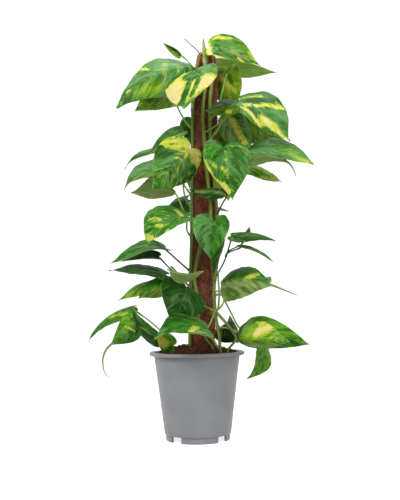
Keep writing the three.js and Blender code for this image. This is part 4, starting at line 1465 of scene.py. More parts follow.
        arch=(0.06, 0.07), fold=(12, 26), roll=21, lobes=0.6, halves=(0.9, 0.72),
        tones=(Tone.GREY_AND_SHEEN, Tone.DEEP), stalk=Tone.PAINTED_SHADE, marbling=0.2),
    Leaf("leaf_right_low_large", Stem.RIGHT, 199, (40, -44, 241), (118, -80, 235), (0.04, -0.74, 0.68), 73,
        arch=(0.2, 0.1), fold=(-4, -35), roll=15, lobes=0.7, halves=(1.09, 0.92),
        via=((38, -50, 206), (43, -49, 217)), drip=((134, -84, 228), (149, -88, 221)),
        tones=(Tone.MID, Tone.PALE), marbling=0.05,
        streaks=(Streak((0.51, -0.04), (0.65, -0.14), 0.05, 1),)),
    Leaf("leaf_low_right_large", Stem.RIGHT, 224, (75, -30, 169), (171, -54, 147), (-0.05, -0.9, 0.43), 65,
        arch=(0.21, 0.02), fold=(0, -8), roll=34, lobes=0.5, halves=(0.9, 0.84),
        via=((40, -36, 224), (48, -37, 208), (57, -36, 190), (65, -34, 175)), tones=(Tone.BRIGHT, Tone.MID),
        marbling=0.15),
    Leaf("leaf_low_right_cream", Stem.ARCH, 166, (64, -80, 160), (133, -112, 155), (0.06, -0.99, -0.09), 64,
        arch=(0.13, 0.01), fold=(-20, -40), roll=41, halves=(1.13, 1.04), tones=(Tone.MID, Tone.BRIGHT),
        marbling=0.1, streaks=(
            Streak((0.02, -0.13), (0.19, -0.21), 0.19, -0.4),
            Streak((0.02, -0.13), (0.19, -0.21), 0.19, Tone.DEEP),
            Streak((0.03, 0.07), (0.38, 0.02), 0.09, Tone.OLIVE),
            Streak((0.29, -0.07), (0.8, -0.06), 0.23, Tone.LIME),
            Streak((0.36, -0.11), (0.57, -0.26), 0.09, 1.5),
            Streak((0.28, -0.33), (0.49, -0.36), 0.05, 0.9),
            Streak((0.57, -0.03), (0.91, 0.04), 0.13, Tone.BRIGHT),
            Streak((0.67, -0.05), (0.89, 0.04), 0.08, 0.5),
        )),
    Leaf("leaf_low_right_drooping", Stem.RIGHT, 175, (106, 4, 142), (78, -14, 93), (0.87, -0.34, 0.35), 44,
        arch=(0.18, 0.18), fold=(15, 7), lobes=0.9, halves=(1.03, 1), via=((50, -20, 172), (84, 2, 158)),
        tones=(Tone.BRIGHT, Tone.BRIGHT), marbling=0.25),
    Leaf("leaf_low_left_large", Stem.LEFT, 198, (-14, -53, 237), (-38, -66, 181), (0.44, -0.84, 0.32), 70,
        arch=(0.22, 0.17), fold=(-9, 4), roll=4, lobes=0.5, halves=(1.14, 1.15),
        tones=(Tone.DEEP, Tone.DEEP)),
    Leaf("leaf_low_left_front", Stem.ARCH, 199, (16, -88, 174), (-59, -122, 161), (-0.25, -0.52, 0.82), 64,
        arch=(0.16, 0.22), fold=(-7, 13), roll=18, lobes=0.7, halves=(0.78, 1.1), marbling=0.1, streaks=(
            Streak((0.38, -0.31), (0.24, -0.13), 0.07, 1),
            Streak((0.42, -0.4), (0.11, -0.31), 0.03, Tone.PALE),
            Streak((0.65, 0.26), (0.27, 0.37), 0.15, Tone.DEEP),
        )),
    Leaf("leaf_low_left_bright", Stem.LEFT, 184, (-61, 8, 249), (-124, -10, 217), (-0.12, -0.75, 0.65), 39,
        arch=(0.12, 0.06), fold=(1, -19), roll=26, halves=(0.93, 1.03), tones=(Tone.LIME, Tone.BRIGHT),
        marbling=0.2),
    Leaf("leaf_low_left_olive", Stem.LEFT, 170, (-50, -22, 246), (-90, -32, 220), (-0.14, -0.89, 0.44), 38,
        arch=(0.04, 0.13), fold=(-8, 3), roll=28, halves=(1.06, 0.83), tones=(Tone.OLIVE, Tone.MID),
        marbling=0.12),
    Leaf("shoot_low_left", (-35, -36, 124), 0, (-101, 8, 208), (-177, 28, 152), (-0.43, -0.5, 0.75), 43,
        arch=(0.14, 0.14), fold=(-5, -13), roll=35, lobes=0.5, halves=(0.92, 0.98),
        tones=(Tone.MID, Tone.GREY_AND_SHEEN), marbling=0.25,
        streaks=(Streak((0.32, -0.11), (0.08, -0.32), 0.09, 0.66),)),
    Leaf("shoot_low_left", (-35, -36, 124), 0, (-93, -42, 184), (-130, -56, 151), (0.48, -0.87, -0.05), 45,
        arch=(0.17, 0.1), fold=(0, -18), roll=11, lobes=0.6, halves=(0.94, 0.86),
        drip=((-137, -57, 143), (-141, -58, 132), (-141, -58, 120), (-138, -58, 109), (-131, -57, 102)),
        tones=(Tone.MID, Tone.BRIGHT), marbling=0.2,
        streaks=(Streak((0.33, 0.17), (0.21, -0.15), 0.03, 0.9),)),
    Leaf("shoot_low_left", (-35, -36, 124), 0, (-59, -28, 155), (-99, -20, 208), (-0.84, -0.49, 0.22), 35,
        arch=(0.09, 0.18), fold=(10, 11), roll=15, lobes=0.9, halves=(0.98, 0.96),
        tones=(Tone.DEEP, Tone.MID), marbling=0.1),
    Leaf("shoot_low_left", (-35, -36, 124), 0, (-36, -42, 149), (-60, -66, 162), (0.38, -0.92, 0.08), 30,
        arch=(-0.02, 0.03), fold=(-15, -1), roll=31, lobes=1.3, halves=(1.07, 0.99),
        tones=(Tone.MID, Tone.BRIGHT), marbling=0.3, streaks=(Streak((0.82, -0.03), (0.4, -0.12), 0.2, 1),)),
    # painted shade: this leaf behind the stems gets the darkest green all over
    Leaf("leaf_low_right_shade", (38, 8, 124), 0, (49, 13, 178), (67, 27, 147), (0.53, -0.83, 0.15), 52,
        arch=(-0.08, 0.17), fold=(-10, -10), roll=38, lobes=0.5, halves=(1, 1.05),
        tones=(Tone.PAINTED_SHADE, Tone.PAINTED_SHADE)),
    Leaf("leaf_back_top", Stem.BACK, 540, (16, 50, 606), (24, 124, 574), (0, 0.5, 0.87), 72,
        arch=(0.12, 0.08), tones=(Tone.DEEP, Tone.MID), marbling=0.15),
    Leaf("leaf_back_upper_left", Stem.BACK, 452, (0, 34, 520), (0, 40, 473), (-0.05, -0.92, 0.4), 46,
        arch=(0.19, 0.11), fold=(14, 14), roll=8, halves=(1.07, 1.01), marbling=0.1),
    Leaf("leaf_back_upper_right", Stem.BACK, 475, (38, 46, 510), (56, 56, 470), (-0.1, -0.93, 0.36), 42,
        arch=(0.12, 0.08), tones=(Tone.OLIVE, Tone.OLIVE), marbling=0.05),
    Leaf("leaf_back_middle", Stem.BACK, 415, (11, 56, 462), (-10, 126, 420), (-0.1, 0.6, 0.78), 68,
        arch=(0.12, 0.08), tones=(Tone.DEEP, Tone.MID), marbling=0.15),
    Leaf("leaf_back_middle_right", Stem.BACK, 395, (46, 50, 430), (60, 126, 396), (0.1, 0.6, 0.78), 62,
        arch=(0.12, 0.08), tones=(Tone.MID, Tone.GREY_AND_SHEEN), marbling=0.48),
    Leaf("leaf_back_low_middle", Stem.BACK, 300, (16, 52, 335), (30, 122, 296), (0, 0.6, 0.78), 54,
        arch=(0.12, 0.08), tones=(Tone.MID, Tone.GREY_AND_SHEEN), marbling=0.48),
    Leaf("leaf_back_left", Stem.BACK, 345, (-34, 76, 368), (-50, 126, 352), (-0.2, 0.5, 0.85), 46,
        arch=(0.12, 0.08), tones=(Tone.DEEP, Tone.MID), marbling=0.15),
    Leaf("leaf_back_low_left", Stem.BACK, 205, (-26, 48, 238), (-30, 122, 196), (-0.1, 0.6, 0.78), 68,
        arch=(0.12, 0.08), tones=(Tone.MID, Tone.GREY_AND_SHEEN), marbling=0.48),
    Leaf("leaf_back_low_right", Stem.BACK, 222, (84, 46, 248), (132, 100, 248), (0.1, 0.3, 0.94), 58,
        arch=(0.06, 0.02), tones=(Tone.DEEP, Tone.MID), marbling=0.15),
    Leaf("leaf_back_foot", Stem.BACK, 168, (10, 54, 186), (-16, 126, 172), (0, 0.5, 0.87), 50,
        arch=(0.12, 0.08), tones=(Tone.MID, Tone.GREY_AND_SHEEN), marbling=0.48),
)


@dataclass
class RolledLeaf:
    """The newest leaf, still rolled into a spindle: pale below and dry at the tip."""

    skin: bpy.types.Material
    base: Point = (20.5, -27, 588.7)
    tip: Point = (17.6, -29, 637.3)
    girth: float = 4.1
    turns: float = 1.6
    sides: int = 20
    steps: int = 40

    def build(self) -> None:
        """Makes the spindle, with the rolled edge's step winding up it."""
        route = even(np.array([self.base, self.tip], float), self.steps)
        share = np.linspace(0, 1, self.steps)
        swell = np.interp(share, [0, 0.02, 0.2, 0.6, 0.85, 1], [0.4, 0.7, 1, 0.8, 0.45, 0.1])
        piece = tube("leaf_top_rolled_fine", route, self.girth * swell, self.sides)
        points = points_of(piece) / MM
        axis = np.stack([np.interp(points[:, 2], route[:, 2], route[:, k]) for k in range(3)], axis=1)
        around = np.arctan2(points[:, 1] - axis[:, 1], points[:, 0] - axis[:, 0])
        phase = (around / (2 * math.pi) + self.turns * (points[:, 2] - self.base[2]) / 49) % 1
        points[:, :2] = axis[:, :2] + (points[:, :2] - axis[:, :2]) * (0.86 + 0.22 * phase)[:, None]
        move_points(piece, points * MM)
        ground = blend(pigment("b6c646"), pigment("b9cf8c"), ramp(points[:, 2], 606, 598))
        store(piece, "ground", blend(ground, pigment("7b8062"), ramp(points[:, 2], 626, 637)))
        settle(coat(piece, self.skin), Slot.YOUNG, "leaf_top_rolled")


@dataclass
class StemRoutes:
    """The ways that the stems climb, by the points that each passes."""

    points: dict[Stem, tuple[Point, ...]]

    def dense(self, stem: Stem) -> np.ndarray:
        """A stem's centre, closely spaced."""
        return catmull(np.array(self.points[stem], float), np.linspace(0, 1, 1201))

    def centre(self, stem: Stem, height: float) -> np.ndarray:
        """A stem's centre at a height."""
        route = self.dense(stem)
        return route[np.argmax(route[:, 2] >= height)]


STEM_ROUTES = StemRoutes({
    Stem.LEFT: (
        (-12, -12, 104), (-11, -12, 144), (-10, -11, 180), (-9, -10, 217), (-8, -10, 265), (-6, -10, 310),
        (-5, -10, 354), (-4, -10, 403), (-2, -10, 476), (-1, -10, 534), (2, -13, 578), (9, -20, 600),
        (13, -22, 617),
    ),
    Stem.FRONT: (
        (28, -43, 104), (25, -42, 142), (19, -40, 151), (13, -38, 161), (4, -34, 186), (1, -29, 228),
        (-2, -27, 248), (0, -28, 267), (8, -28, 300), (19, -28, 327), (25, -27, 355), (22, -26, 398),
        (19, -26, 431), (16, -26, 487), (15, -26, 515), (17, -26, 540), (20, -25, 558), (22, -24.5, 572),
        (21, -26, 588),
    ),
    Stem.RIGHT: (
        (38, -46, 104), (36, -46, 139), (34, -46, 163), (31, -44, 186), (29, -40, 203), (28, -32, 229),
        (30, -28, 251), (33, -24, 276), (35, -20, 311), (35, -18, 351), (33, -19, 390), (30, -20, 432),
        (26, -24, 480), (27, -26, 536), (31, -24, 570), (32, -22, 606),
    ),
    Stem.BACK: (
        (14, 32, 104), (13, 30, 146), (8, 26, 200), (15, 26, 260), (19, 25, 320), (13, 25, 390),
        (20, 25, 460), (24, 24, 520), (19, 26, 588),
    ),
    Stem.ARCH: (
        (45, -36, 104), (48, -38, 138), (60, -47, 155), (57, -50, 166), (47, -54, 179), (32, -55, 196),
        (21, -56, 203), (12, -59, 208),
    ),
})


# The share of its thickness that a stem still has at the soil, where that is not all of it
STEM_FEET = {Stem.FRONT: 0.55, Stem.RIGHT: 0.75, Stem.ARCH: 0.7}
# Bare stalks that lost leaves have left beside the right-hand stem
OLD_STALKS = (
    ((34, -42, 203), (36, -40, 225), (35, -39, 247), (35, -38, 261)),
    ((17, -47, 166), (26, -46, 155), (35, -45, 140)),
    ((55, -20, 580), (50, -30, 561), (41, -42, 524)),
    ((57, -53, 515), (48, -56, 500), (34, -46, 474)),
)


@dataclass
class Stems:
    """The climbing stems, with a ring at each leaf and stubs of air roots that grip the coir."""

    routes: StemRoutes
    skin: bpy.types.Material
    radius: float = 2.7
    sides: int = 14
    ring_swell: float = 0.75
    ring_reach: float = 3.2
    scar_reach: float = 1.6
    lowest_root: float = 180.0

    def ring_heights(self, stem: Stem) -> list[float]:
        """Where leaves leave a stem."""
        return sorted({leaf.height for leaf in LEAVES if leaf.root is stem})

    def root(self, stem: Stem, height: float, turn: float) -> bpy.types.Object:
        """Makes a short air root that leaves the stem at a ring and reaches for the pole.

        Args:
            stem: The stem.
            height: The ring's height.
            turn: 1 or -1, the side to which the root turns off.

        Returns:
            The root.
        """
        start = self.routes.centre(stem, height - 2)
        inward = np.array([pole_axis(height) - start[0], -start[1], 0.0])
        inward = unit(inward + 0.6 * np.array([-inward[1], inward[0], 0.0]) * turn)
        ways = ((0, 0), (3, 0), (6, 4), (7, 9))
        corners = np.array([start + way * inward - [0, 0, drop] for way, drop in ways])
        route = even(bezier(corners, np.linspace(0, 1, 30)), 8)
        piece = tube("air_root", route, np.linspace(0.9, 0.5, 8), 6)
        tint(piece, pigment("8a6a3f"))
        return piece

    def sheath(self) -> bpy.types.Object:
        """Makes the dry sheath that an old leaf has left on the right-hand stem.

        Returns:
            The sheath.
        """
        route = even(np.array(DRY_SHEATH, float), 16)
        swell = np.interp(np.linspace(0, 1, 16), [0, 0.2, 0.6, 1], [2.2, 2.7, 1.7, 0.3])
        piece = tube("dry_sheath", route, swell, 8, groove=0.4)
        tint(piece, pigment("b3ab9c"))
        return piece

    def old_stalk(self, points: tuple[Point, ...]) -> bpy.types.Object:
        """Makes a thin bare stalk that a leaf has left beside the right-hand stem.

        Args:
            points: The points that it passes.

        Returns:
            The stalk.
        """
        route = even(catmull(np.array(points, float), np.linspace(0, 1, 61)), 20)
        piece = tube("old_stalk", route, np.linspace(1.7, 1.2, 20), 8, groove=0.3)
        tint(piece, pigment("8fb049"))
        return piece

    def shaft(self, stem: Stem) -> bpy.types.Object:
        """Makes a stem with a ring at each leaf: green above and woody below, with a scar under each ring.

        Args:
            stem: The stem.

        Returns:
            The stem without its roots.
        """
        route = self.routes.dense(stem)
        length = np.linalg.norm(np.diff(route, axis=0), axis=1).sum()
        route = even(route, int(length / 4))
        height = route[:, 2]
        radii = self.radius * np.interp(height, [150, 215], [STEM_FEET.get(stem, 1.0), 1])
        for ring in self.ring_heights(stem):
            radii += self.ring_swell * np.exp(-(((height - ring) / self.ring_reach) ** 2))
        fading = np.clip(np.arange(len(route))[::-1] / 5, 0.35, 1)
        piece = tube(stem.value, route, radii * fading, self.sides)
        level = points_of(piece)[:, 2] / MM
        ground = blend(pigment("809c35"), pigment("75763a"), 0.6 * ramp(level, 260, 130))
        if stem is Stem.LEFT:
            ground = blend(ground, pigment("b98c2f"), ramp(level, 588, 602))
        for ring in self.ring_heights(stem):
            scar = np.exp(-(((level - ring + 2) / self.scar_reach) ** 2))[:, None]
            ground = blend(ground, pigment("7b6a38"), 0.5 * scar)
        store(piece, "ground", ground)
        return piece

    def build(self) -> None:
        """Makes all stems with their air roots, and what old leaves have left on the right-hand one."""
        for stem in Stem:
            parts = [self.shaft(stem)]
            for index, ring in enumerate(self.ring_heights(stem)):
                if stem is not Stem.ARCH and ring > self.lowest_root:
                    parts.append(self.root(stem, ring, (-1) ** index))
            if stem is Stem.RIGHT:
                parts.append(self.sheath())
                parts += [self.old_stalk(points) for points in OLD_STALKS]
            piece = fuse(f"{stem.value}_fine", parts)
            settle(coat(piece, self.skin), Slot.STEM, stem.value)


@dataclass
class Pole:
    """The coir sleeve on its stake: felt drawn in along a spiral, a cord between, and loose fibres."""

    felt: bpy.types.Material
    strand: bpy.types.Material
    light_strand: bpy.types.Material
    cord: bpy.types.Material
    wood: bpy.types.Material
    fibres: int = 5200
    rows: int = 300
    columns: int = 96
    turned_in: int = 4
    strand_steps: int = 5

    def radius(self, angle: np.ndarray, height: np.ndarray) -> np.ndarray:
        """Finds the felt's radius: drawn in along a spiral half a turn from the cord, and tapered on top.

        Args:
            angle: The ways round.
            height: The heights.

        Returns:
            The radii.
        """
        winding = angle + 2 * math.pi * height / CORD_PITCH
        drawn = 1.3 * np.exp(-((np.abs((winding / math.pi) % 2 - 1) - 1) / 0.16) ** 2)
        lumps = (0.5 * np.sin(3 * angle + height / 11) + 0.4 * np.sin(5 * angle - height / 7 + 1)
                 + 0.35 * np.sin(2 * angle + height / 4.3) * np.sin(height / 17))
        taper = SLEEVE_TAPER * np.clip((height - POLE_TOP) / SLEEVE_TAPER_LENGTH + 1, 0, 1)
        return POLE_RADIUS - 0.7 - drawn + 0.7 * lumps - taper

    def sleeve(self) -> bpy.types.Object:
        """Makes the felt as a closed sleeve round the stake's bore.

        Its first and last rows turn in to the bore, and the two rims there are bridged.

        Returns:
            The sleeve.
        """
        piece, across, along = sheet("coir_felt", self.columns, self.rows)
        rows = np.rint(along * self.rows)
        body = np.clip((rows - self.turned_in) / (self.rows - 2 * self.turned_in), 0, 1)
        height = POLE_FLOOR + (POLE_TOP - POLE_FLOOR) * body
        angle = math.pi * across
        outer = self.radius(angle, height)
        lower = np.clip(1 - rows / self.turned_in, 0, 1)
        upper = np.clip(1 - (self.rows - rows) / self.turned_in, 0, 1)
        inward = np.maximum(lower, upper)
        inner = STAKE_RADIUS + 0.4
        radius = outer + (inner - outer) * inward
        rough = np.random.default_rng(7).normal(0, 0.28, len(radius)) * (inward < 0.9)
        seam = np.abs(across) > 0.999
        radius = radius + np.where(seam, 0, rough)
        height = height + upper * 0.8 * np.sin(7 * angle) - lower * 0.5
        move_points(piece, around_pole(radius, angle, height) * MM)
        close(piece)
        bpy.ops.object.mode_set(mode="EDIT")
        bpy.ops.mesh.select_all(action="DESELECT")
        bpy.ops.mesh.select_non_manifold()
        bpy.ops.mesh.bridge_edge_loops()
        bpy.ops.mesh.select_all(action="SELECT")
        bpy.ops.mesh.normals_make_consistent(inside=False)
        bpy.ops.object.mode_set(mode="OBJECT")
        return coat(piece, self.felt, 180)

    def strands(self, name: str, count: int, seed: int, girth: float,
                skin: bpy.types.Material) -> bpy.types.Object:
        """Makes loose fibres that lie over the felt, each a thin three-sided bristle.

        Args:
            name: The object's name.
            count: How many fibres.
            seed: Sets the draw.
            girth: Their half thickness in millimetres.
            skin: Their material.

        Returns:
            The fibres as one object.
        """
        draw = np.random.default_rng(seed)
        steps = self.strand_steps
        start_angle = draw.uniform(-math.pi, math.pi, count)
        start_height = draw.uniform(COIR_SHOWS + 5, POLE_TOP - 2, count)
        slant = draw.normal(0, 1.0, count)
        length = draw.uniform(9, 30, count)
        loose = draw.uniform(0, 1, count) < 0.12
        lift = np.where(loose, draw.uniform(1.2, 3.4, count), draw.uniform(0.1, 0.8, count))
        share = np.linspace(0, 1, steps)[:, None]
        wander = draw.normal(0, 0.06, (steps, count)).cumsum(axis=0)
        angle = start_angle + length * np.sin(slant) / POLE_RADIUS * share + wander
        height = np.clip(start_height + length * np.cos(slant) * share, COIR_SHOWS, POLE_TOP + 2)
        radius = self.radius(angle, height) + 0.2 + lift * np.sin(math.pi * share) ** 0.7
        centre = around_pole(radius, angle, height)
        run = unit(np.gradient(centre, axis=0))
        out = np.stack([np.cos(angle), np.sin(angle), np.zeros_like(angle)], axis=2)
        side = unit(np.cross(run, out))
        thick = girth * np.array([0.5, 1, 1, 0.8, 0.25])[:, None, None]
        rings = np.stack([centre + side * thick, centre - side * thick, centre + out * thick * 1.4], axis=2)
        sides = []
        for step in range(steps - 1):
            for corner in range(3):
                a, b = 3 * step + corner, 3 * step + (corner + 1) % 3
                sides.append((a, b, b + 3, a + 3))
        last = 3 * (steps - 1)
        ends = [(2, 1, 0), (last, last + 1, last + 2)]
        faces = repeated(sides, 3 * steps, count) + repeated(ends, 3 * steps, count)
        return strewn(name, rings.transpose(1, 0, 2, 3), faces, skin)

    def binding(self) -> bpy.types.Object:
        """Makes the cord that winds round the sleeve.

        Returns:
            The cord.
        """
        height = np.linspace(COIR_SHOWS - 10, POLE_TOP - 6, 420)
        angle = math.pi - 2 * math.pi * height / CORD_PITCH
        route = around_pole(self.radius(angle, height) + 0.5, angle, height)
        return coat(tube("coir_cord", route, np.full(len(route), 0.6), 6), self.cord)

    def cord_end(self) -> bpy.types.Object:
        """Makes the loose end of the cord, which stands up stiffly from the sleeve's rim.

        Returns:
            The cord's end.
        """
        route = even(catmull(np.array(CORD_END, float), np.linspace(0, 1, 61)), 24)
        return coat(tube("coir_cord_end", route, np.linspace(0.9, 0.6, 24), 8), self.cord)

    def stake(self) -> bpy.types.Object:
        """Makes the stake: a turned rod with a point below and a chamfered end.

        Returns:
            The stake.
        """
        profile = np.array([
            (POLE_FLOOR - 6, 0.2), (POLE_FLOOR + 12, STAKE_RADIUS - 0.5), (POLE_FLOOR + 16, STAKE_RADIUS),
            (POLE_TOP + 3, STAKE_RADIUS), (POLE_TOP + 4, STAKE_RADIUS - 1), (POLE_TOP + 4, 0.1),
        ])
        spots = np.linspace(0, 5, 61)
        height, radii = (np.interp(spots, range(6), profile[:, k]) for k in range(2))
        keep = np.concatenate([[True], np.diff(height) + np.abs(np.diff(radii)) > 1e-6])
        height, radii = height[keep], radii[keep]
        height = height + np.arange(len(height)) * 1e-4
        return coat(tube("pole_stake_fine", around_pole(0, 0, height), radii, 28), self.wood, 30)

    def build(self) -> None:
        """Makes the stake, the felt, the fibres and the cord."""
        settle(self.stake(), Slot.WOOD, "pole_stake")
        settle(self.sleeve(), Slot.COIR, "coir_sleeve")
        dark = self.strands("coir_fibres", self.fibres, 11, 0.16, self.strand)
        light = self.strands("coir_fibres_light", self.fibres // 3, 23, 0.14, self.light_strand)
        settle(dark, Slot.COIR, "coir_sleeve")
        settle(light, Slot.COIR, "coir_sleeve")
        settle(self.binding(), Slot.COIR, "coir_sleeve")
        settle(self.cord_end(), Slot.COIR, "coir_sleeve")


@dataclass
class Soil:
    """The potting soil: an uneven mound, with crumbs and bark chips on it."""

    earth: bpy.types.Material
    crumb: bpy.types.Material
    chip: bpy.types.Material
    crumbs: int = 1300
    chips: int = 260
    radius: float = 64.6
    strewn_radius: float = 64.0
    columns: int = 120
    rows: int = 70
    hidden_rows: int = 8

    def mound(self) -> bpy.types.Object:
        """Makes the mound, with a plain underside where the pot hides it.

        Returns:
            The mound.
        """
        piece, across, along = sheet("soil_fine", self.columns, self.rows)
        rows = np.rint(along * self.rows)
        angle = math.pi * across
        top = rows >= self.hidden_rows
        below = [0, 1, self.hidden_rows]
        radius = self.radius * (self.rows - rows) / (self.rows - self.hidden_rows)
        radius = np.where(top, radius, np.interp(rows, below, [0, 50, self.radius]))
        wobble = np.random.default_rng(3).normal(0, 0.5, len(radius))
        wobble[np.abs(across) > 0.999] = 0
        x, y = radius * np.cos(angle), radius * np.sin(angle)
        height = soil_height(x, y) + np.where(rows > self.hidden_rows + 1, wobble, 0)
        height += 0.9 * np.sin(x * 0.9) * np.sin(y * 0.8 + 1)
        height = np.where(top, height, np.interp(rows, below, [15, 15, 130]))
        move_points(piece, np.stack([x, y, height], axis=1) * MM)
        close(piece, outward=True)
        return coat(piece, self.earth, 180)

    def scatter(self, name: str, count: int, seed: int, sizes: Pair, shape: Point,
                skin: bpy.types.Material) -> bpy.types.Object:
        """Strews rough grains over the mound.

        Args:
            name: The object's name.
            count: How many grains.
            seed: Sets the draw.
            sizes: The least and the greatest radius in millimetres.
            shape: How long, wide and thick a grain of radius one is.
            skin: Their material.

        Returns:
            The grains as one object.
        """
        deselect()
        bpy.ops.mesh.primitive_ico_sphere_add(subdivisions=1, radius=1)
        pattern = bpy.context.object
        grain = points_of(pattern)
        corners = np.array([list(face.vertices) for face in pattern.data.polygons])
        bpy.data.objects.remove(pattern, do_unlink=True)
        draw = np.random.default_rng(seed)
        radius = self.strewn_radius * np.sqrt(draw.uniform(0.02, 0.98, count))
        turn = draw.uniform(0, 2 * math.pi, count)
        x, y = radius * np.cos(turn), radius * np.sin(turn)
        size = sizes[0] + (sizes[1] - sizes[0]) * draw.uniform(0, 1, count) ** 2.5
        lumpy = grain[None] * draw.uniform(0.7, 1.25, (count, len(grain), 1)) * np.array(shape)
        tilt = unit(draw.normal(0, 0.25, (count, 3)) + [0, 0, 1])
        yaw = draw.uniform(0, 2 * math.pi, count)
        first = unit(np.cross(np.stack([np.cos(yaw), np.sin(yaw), 0 * yaw], axis=1), tilt))
        basis = np.stack([first, np.cross(tilt, first), tilt], axis=1)
        centre = np.stack([x, y, soil_height(x, y) + 0.35 * size * shape[2]], axis=1)
        points = centre[:, None] + size[:, None, None] * np.einsum("nki,nij->nkj", lumpy, basis)
        return strewn(name, points, repeated(corners, len(grain), count), skin)

    def build(self) -> None:
        """Makes the mound and what lies on it."""
        settle(self.mound(), Slot.SOIL, "soil")
        crumbs = self.scatter("soil_crumbs", self.crumbs, 5, (0.6, 2.6), (1, 0.9, 0.8), self.crumb)
        settle(crumbs, Slot.SOIL, "soil")
        chips = self.scatter("soil_chips", self.chips, 9, (2.0, 5.5), (1.5, 0.45, 0.2), self.chip)
        settle(chips, Slot.SOIL, "soil")


@dataclass
class Pot:
    """The thin tapered nursery pot on its ring of four feet."""

    skin: bpy.types.Material
    segments: int = 144
    foot_radius: float = WALL_FOOT_RADIUS - 0.8
    foot_width: float = 3.6
    drain_radius: float = 4.0
    drain_ring: float = 36.0
    drains: int = 6

    def wall_radius(self, height: float) -> float:
        """The outside radius of the wall at a height."""
        return WALL_FOOT_RADIUS + (WALL_TOP_RADIUS - WALL_FOOT_RADIUS) * height / (POT_HEIGHT - RIM_SKIRT)

    def profile(self) -> list[Pair]:
        """Lists the section, from the middle of the underside round to the middle of the floor.

        Returns:
            Each corner's radius and height.
        """
        wall, foot, rim, top = self.wall_radius, self.foot_radius, RIM_RADIUS, POT_HEIGHT
        inner_foot = foot - self.foot_width
        skirt = top - RIM_SKIRT
        floor_top = FLOOR_UNDERSIDE + WALL
        outside = [(wall(h), h) for h in (NOTCH_HEIGHT + 0.6, 20, 40, 60, 80, 100, 120, top - 4.2, top - 2.2)]
        inside = [(wall(h) - WALL, h) for h in (120, 90, 60, 30, floor_top + 2)]
        return [
            (0, FLOOR_UNDERSIDE), (20, FLOOR_UNDERSIDE), (inner_foot - 0.8, FLOOR_UNDERSIDE),
            (inner_foot, FLOOR_UNDERSIDE - 0.8), (inner_foot, 0.4), (inner_foot + 0.4, 0), (foot - 0.4, 0),
            (foot, 0.4), (foot + 0.2, NOTCH_HEIGHT - 0.6), (wall(NOTCH_HEIGHT) - 0.15, NOTCH_HEIGHT),
            *outside, (wall(top) + 0.6, top - 1.6), (rim - 2.0, top - 1.6), (rim - 1.5, top - 2.0),
            (rim - 1.4, skirt + 0.3), (rim - 1.1, skirt), (rim - 0.5, skirt), (rim - 0.2, skirt + 0.3),
            (rim, top - 1.6), (rim - 0.3, top - 0.6), (rim - 1, top), (wall(top) + 0.4, top),
            (wall(top) - 0.9, top - 0.5), (wall(top - 2) - WALL, top - 2.4), *inside,
            (wall(floor_top) - WALL - 2, floor_top), (20, floor_top), (0, floor_top),
        ]

    def cut(self, piece: bpy.types.Object, cutter: bpy.types.Object) -> None:
        """Cuts one shape out of the pot and removes it.

        Args:
            piece: The pot.
            cutter: The shape.
        """
        cutting = piece.modifiers.new("cut", "BOOLEAN")
        cutting.operation = "DIFFERENCE"
        cutting.solver = "EXACT"
        cutting.object = cutter
        apply_modifiers(piece)
        bpy.data.objects.remove(cutter, do_unlink=True)

    def build(self) -> None:
        """Makes the pot: the turned body, then its notches and drain holes."""
        section = np.array(self.profile())
        piece, across, along = sheet("pot_fine", self.segments, len(section) - 1)
        row = np.rint(along * (len(section) - 1)).astype(int)
        radius, height = section[row, 0], section[row, 1]
        angle = math.pi * across
        points = np.stack([radius * np.cos(angle), radius * np.sin(angle), height], axis=1)
        move_points(piece, points * MM)
        close(piece, outward=True)
        for turn in NOTCH_TURNS:
            deselect()
            bpy.ops.mesh.primitive_cube_add(
                size=1, rotation=(0, 0, math.radians(turn)),
                scale=(2 * RIM_RADIUS * MM, NOTCH_WIDTH * MM, 2 * NOTCH_HEIGHT * MM))
            bpy.ops.object.mode_set(mode="EDIT")
            bpy.ops.mesh.select_all(action="SELECT")
            bpy.ops.mesh.bevel(offset=1.6 * MM, segments=4, affect="EDGES")
            bpy.ops.object.mode_set(mode="OBJECT")
            self.cut(piece, bpy.context.object)
        for index in range(self.drains):
            turn = 2 * math.pi * index / self.drains
            deselect()
            bpy.ops.mesh.primitive_cylinder_add(
                vertices=32, radius=self.drain_radius * MM, depth=4 * WALL * MM,
                location=(self.drain_ring * math.cos(turn) * MM, self.drain_ring * math.sin(turn) * MM,
                          (FLOOR_UNDERSIDE + WALL / 2) * MM))
            self.cut(piece, bpy.context.object)
        settle(coat(piece, self.skin, 35), Slot.POT, "pot")


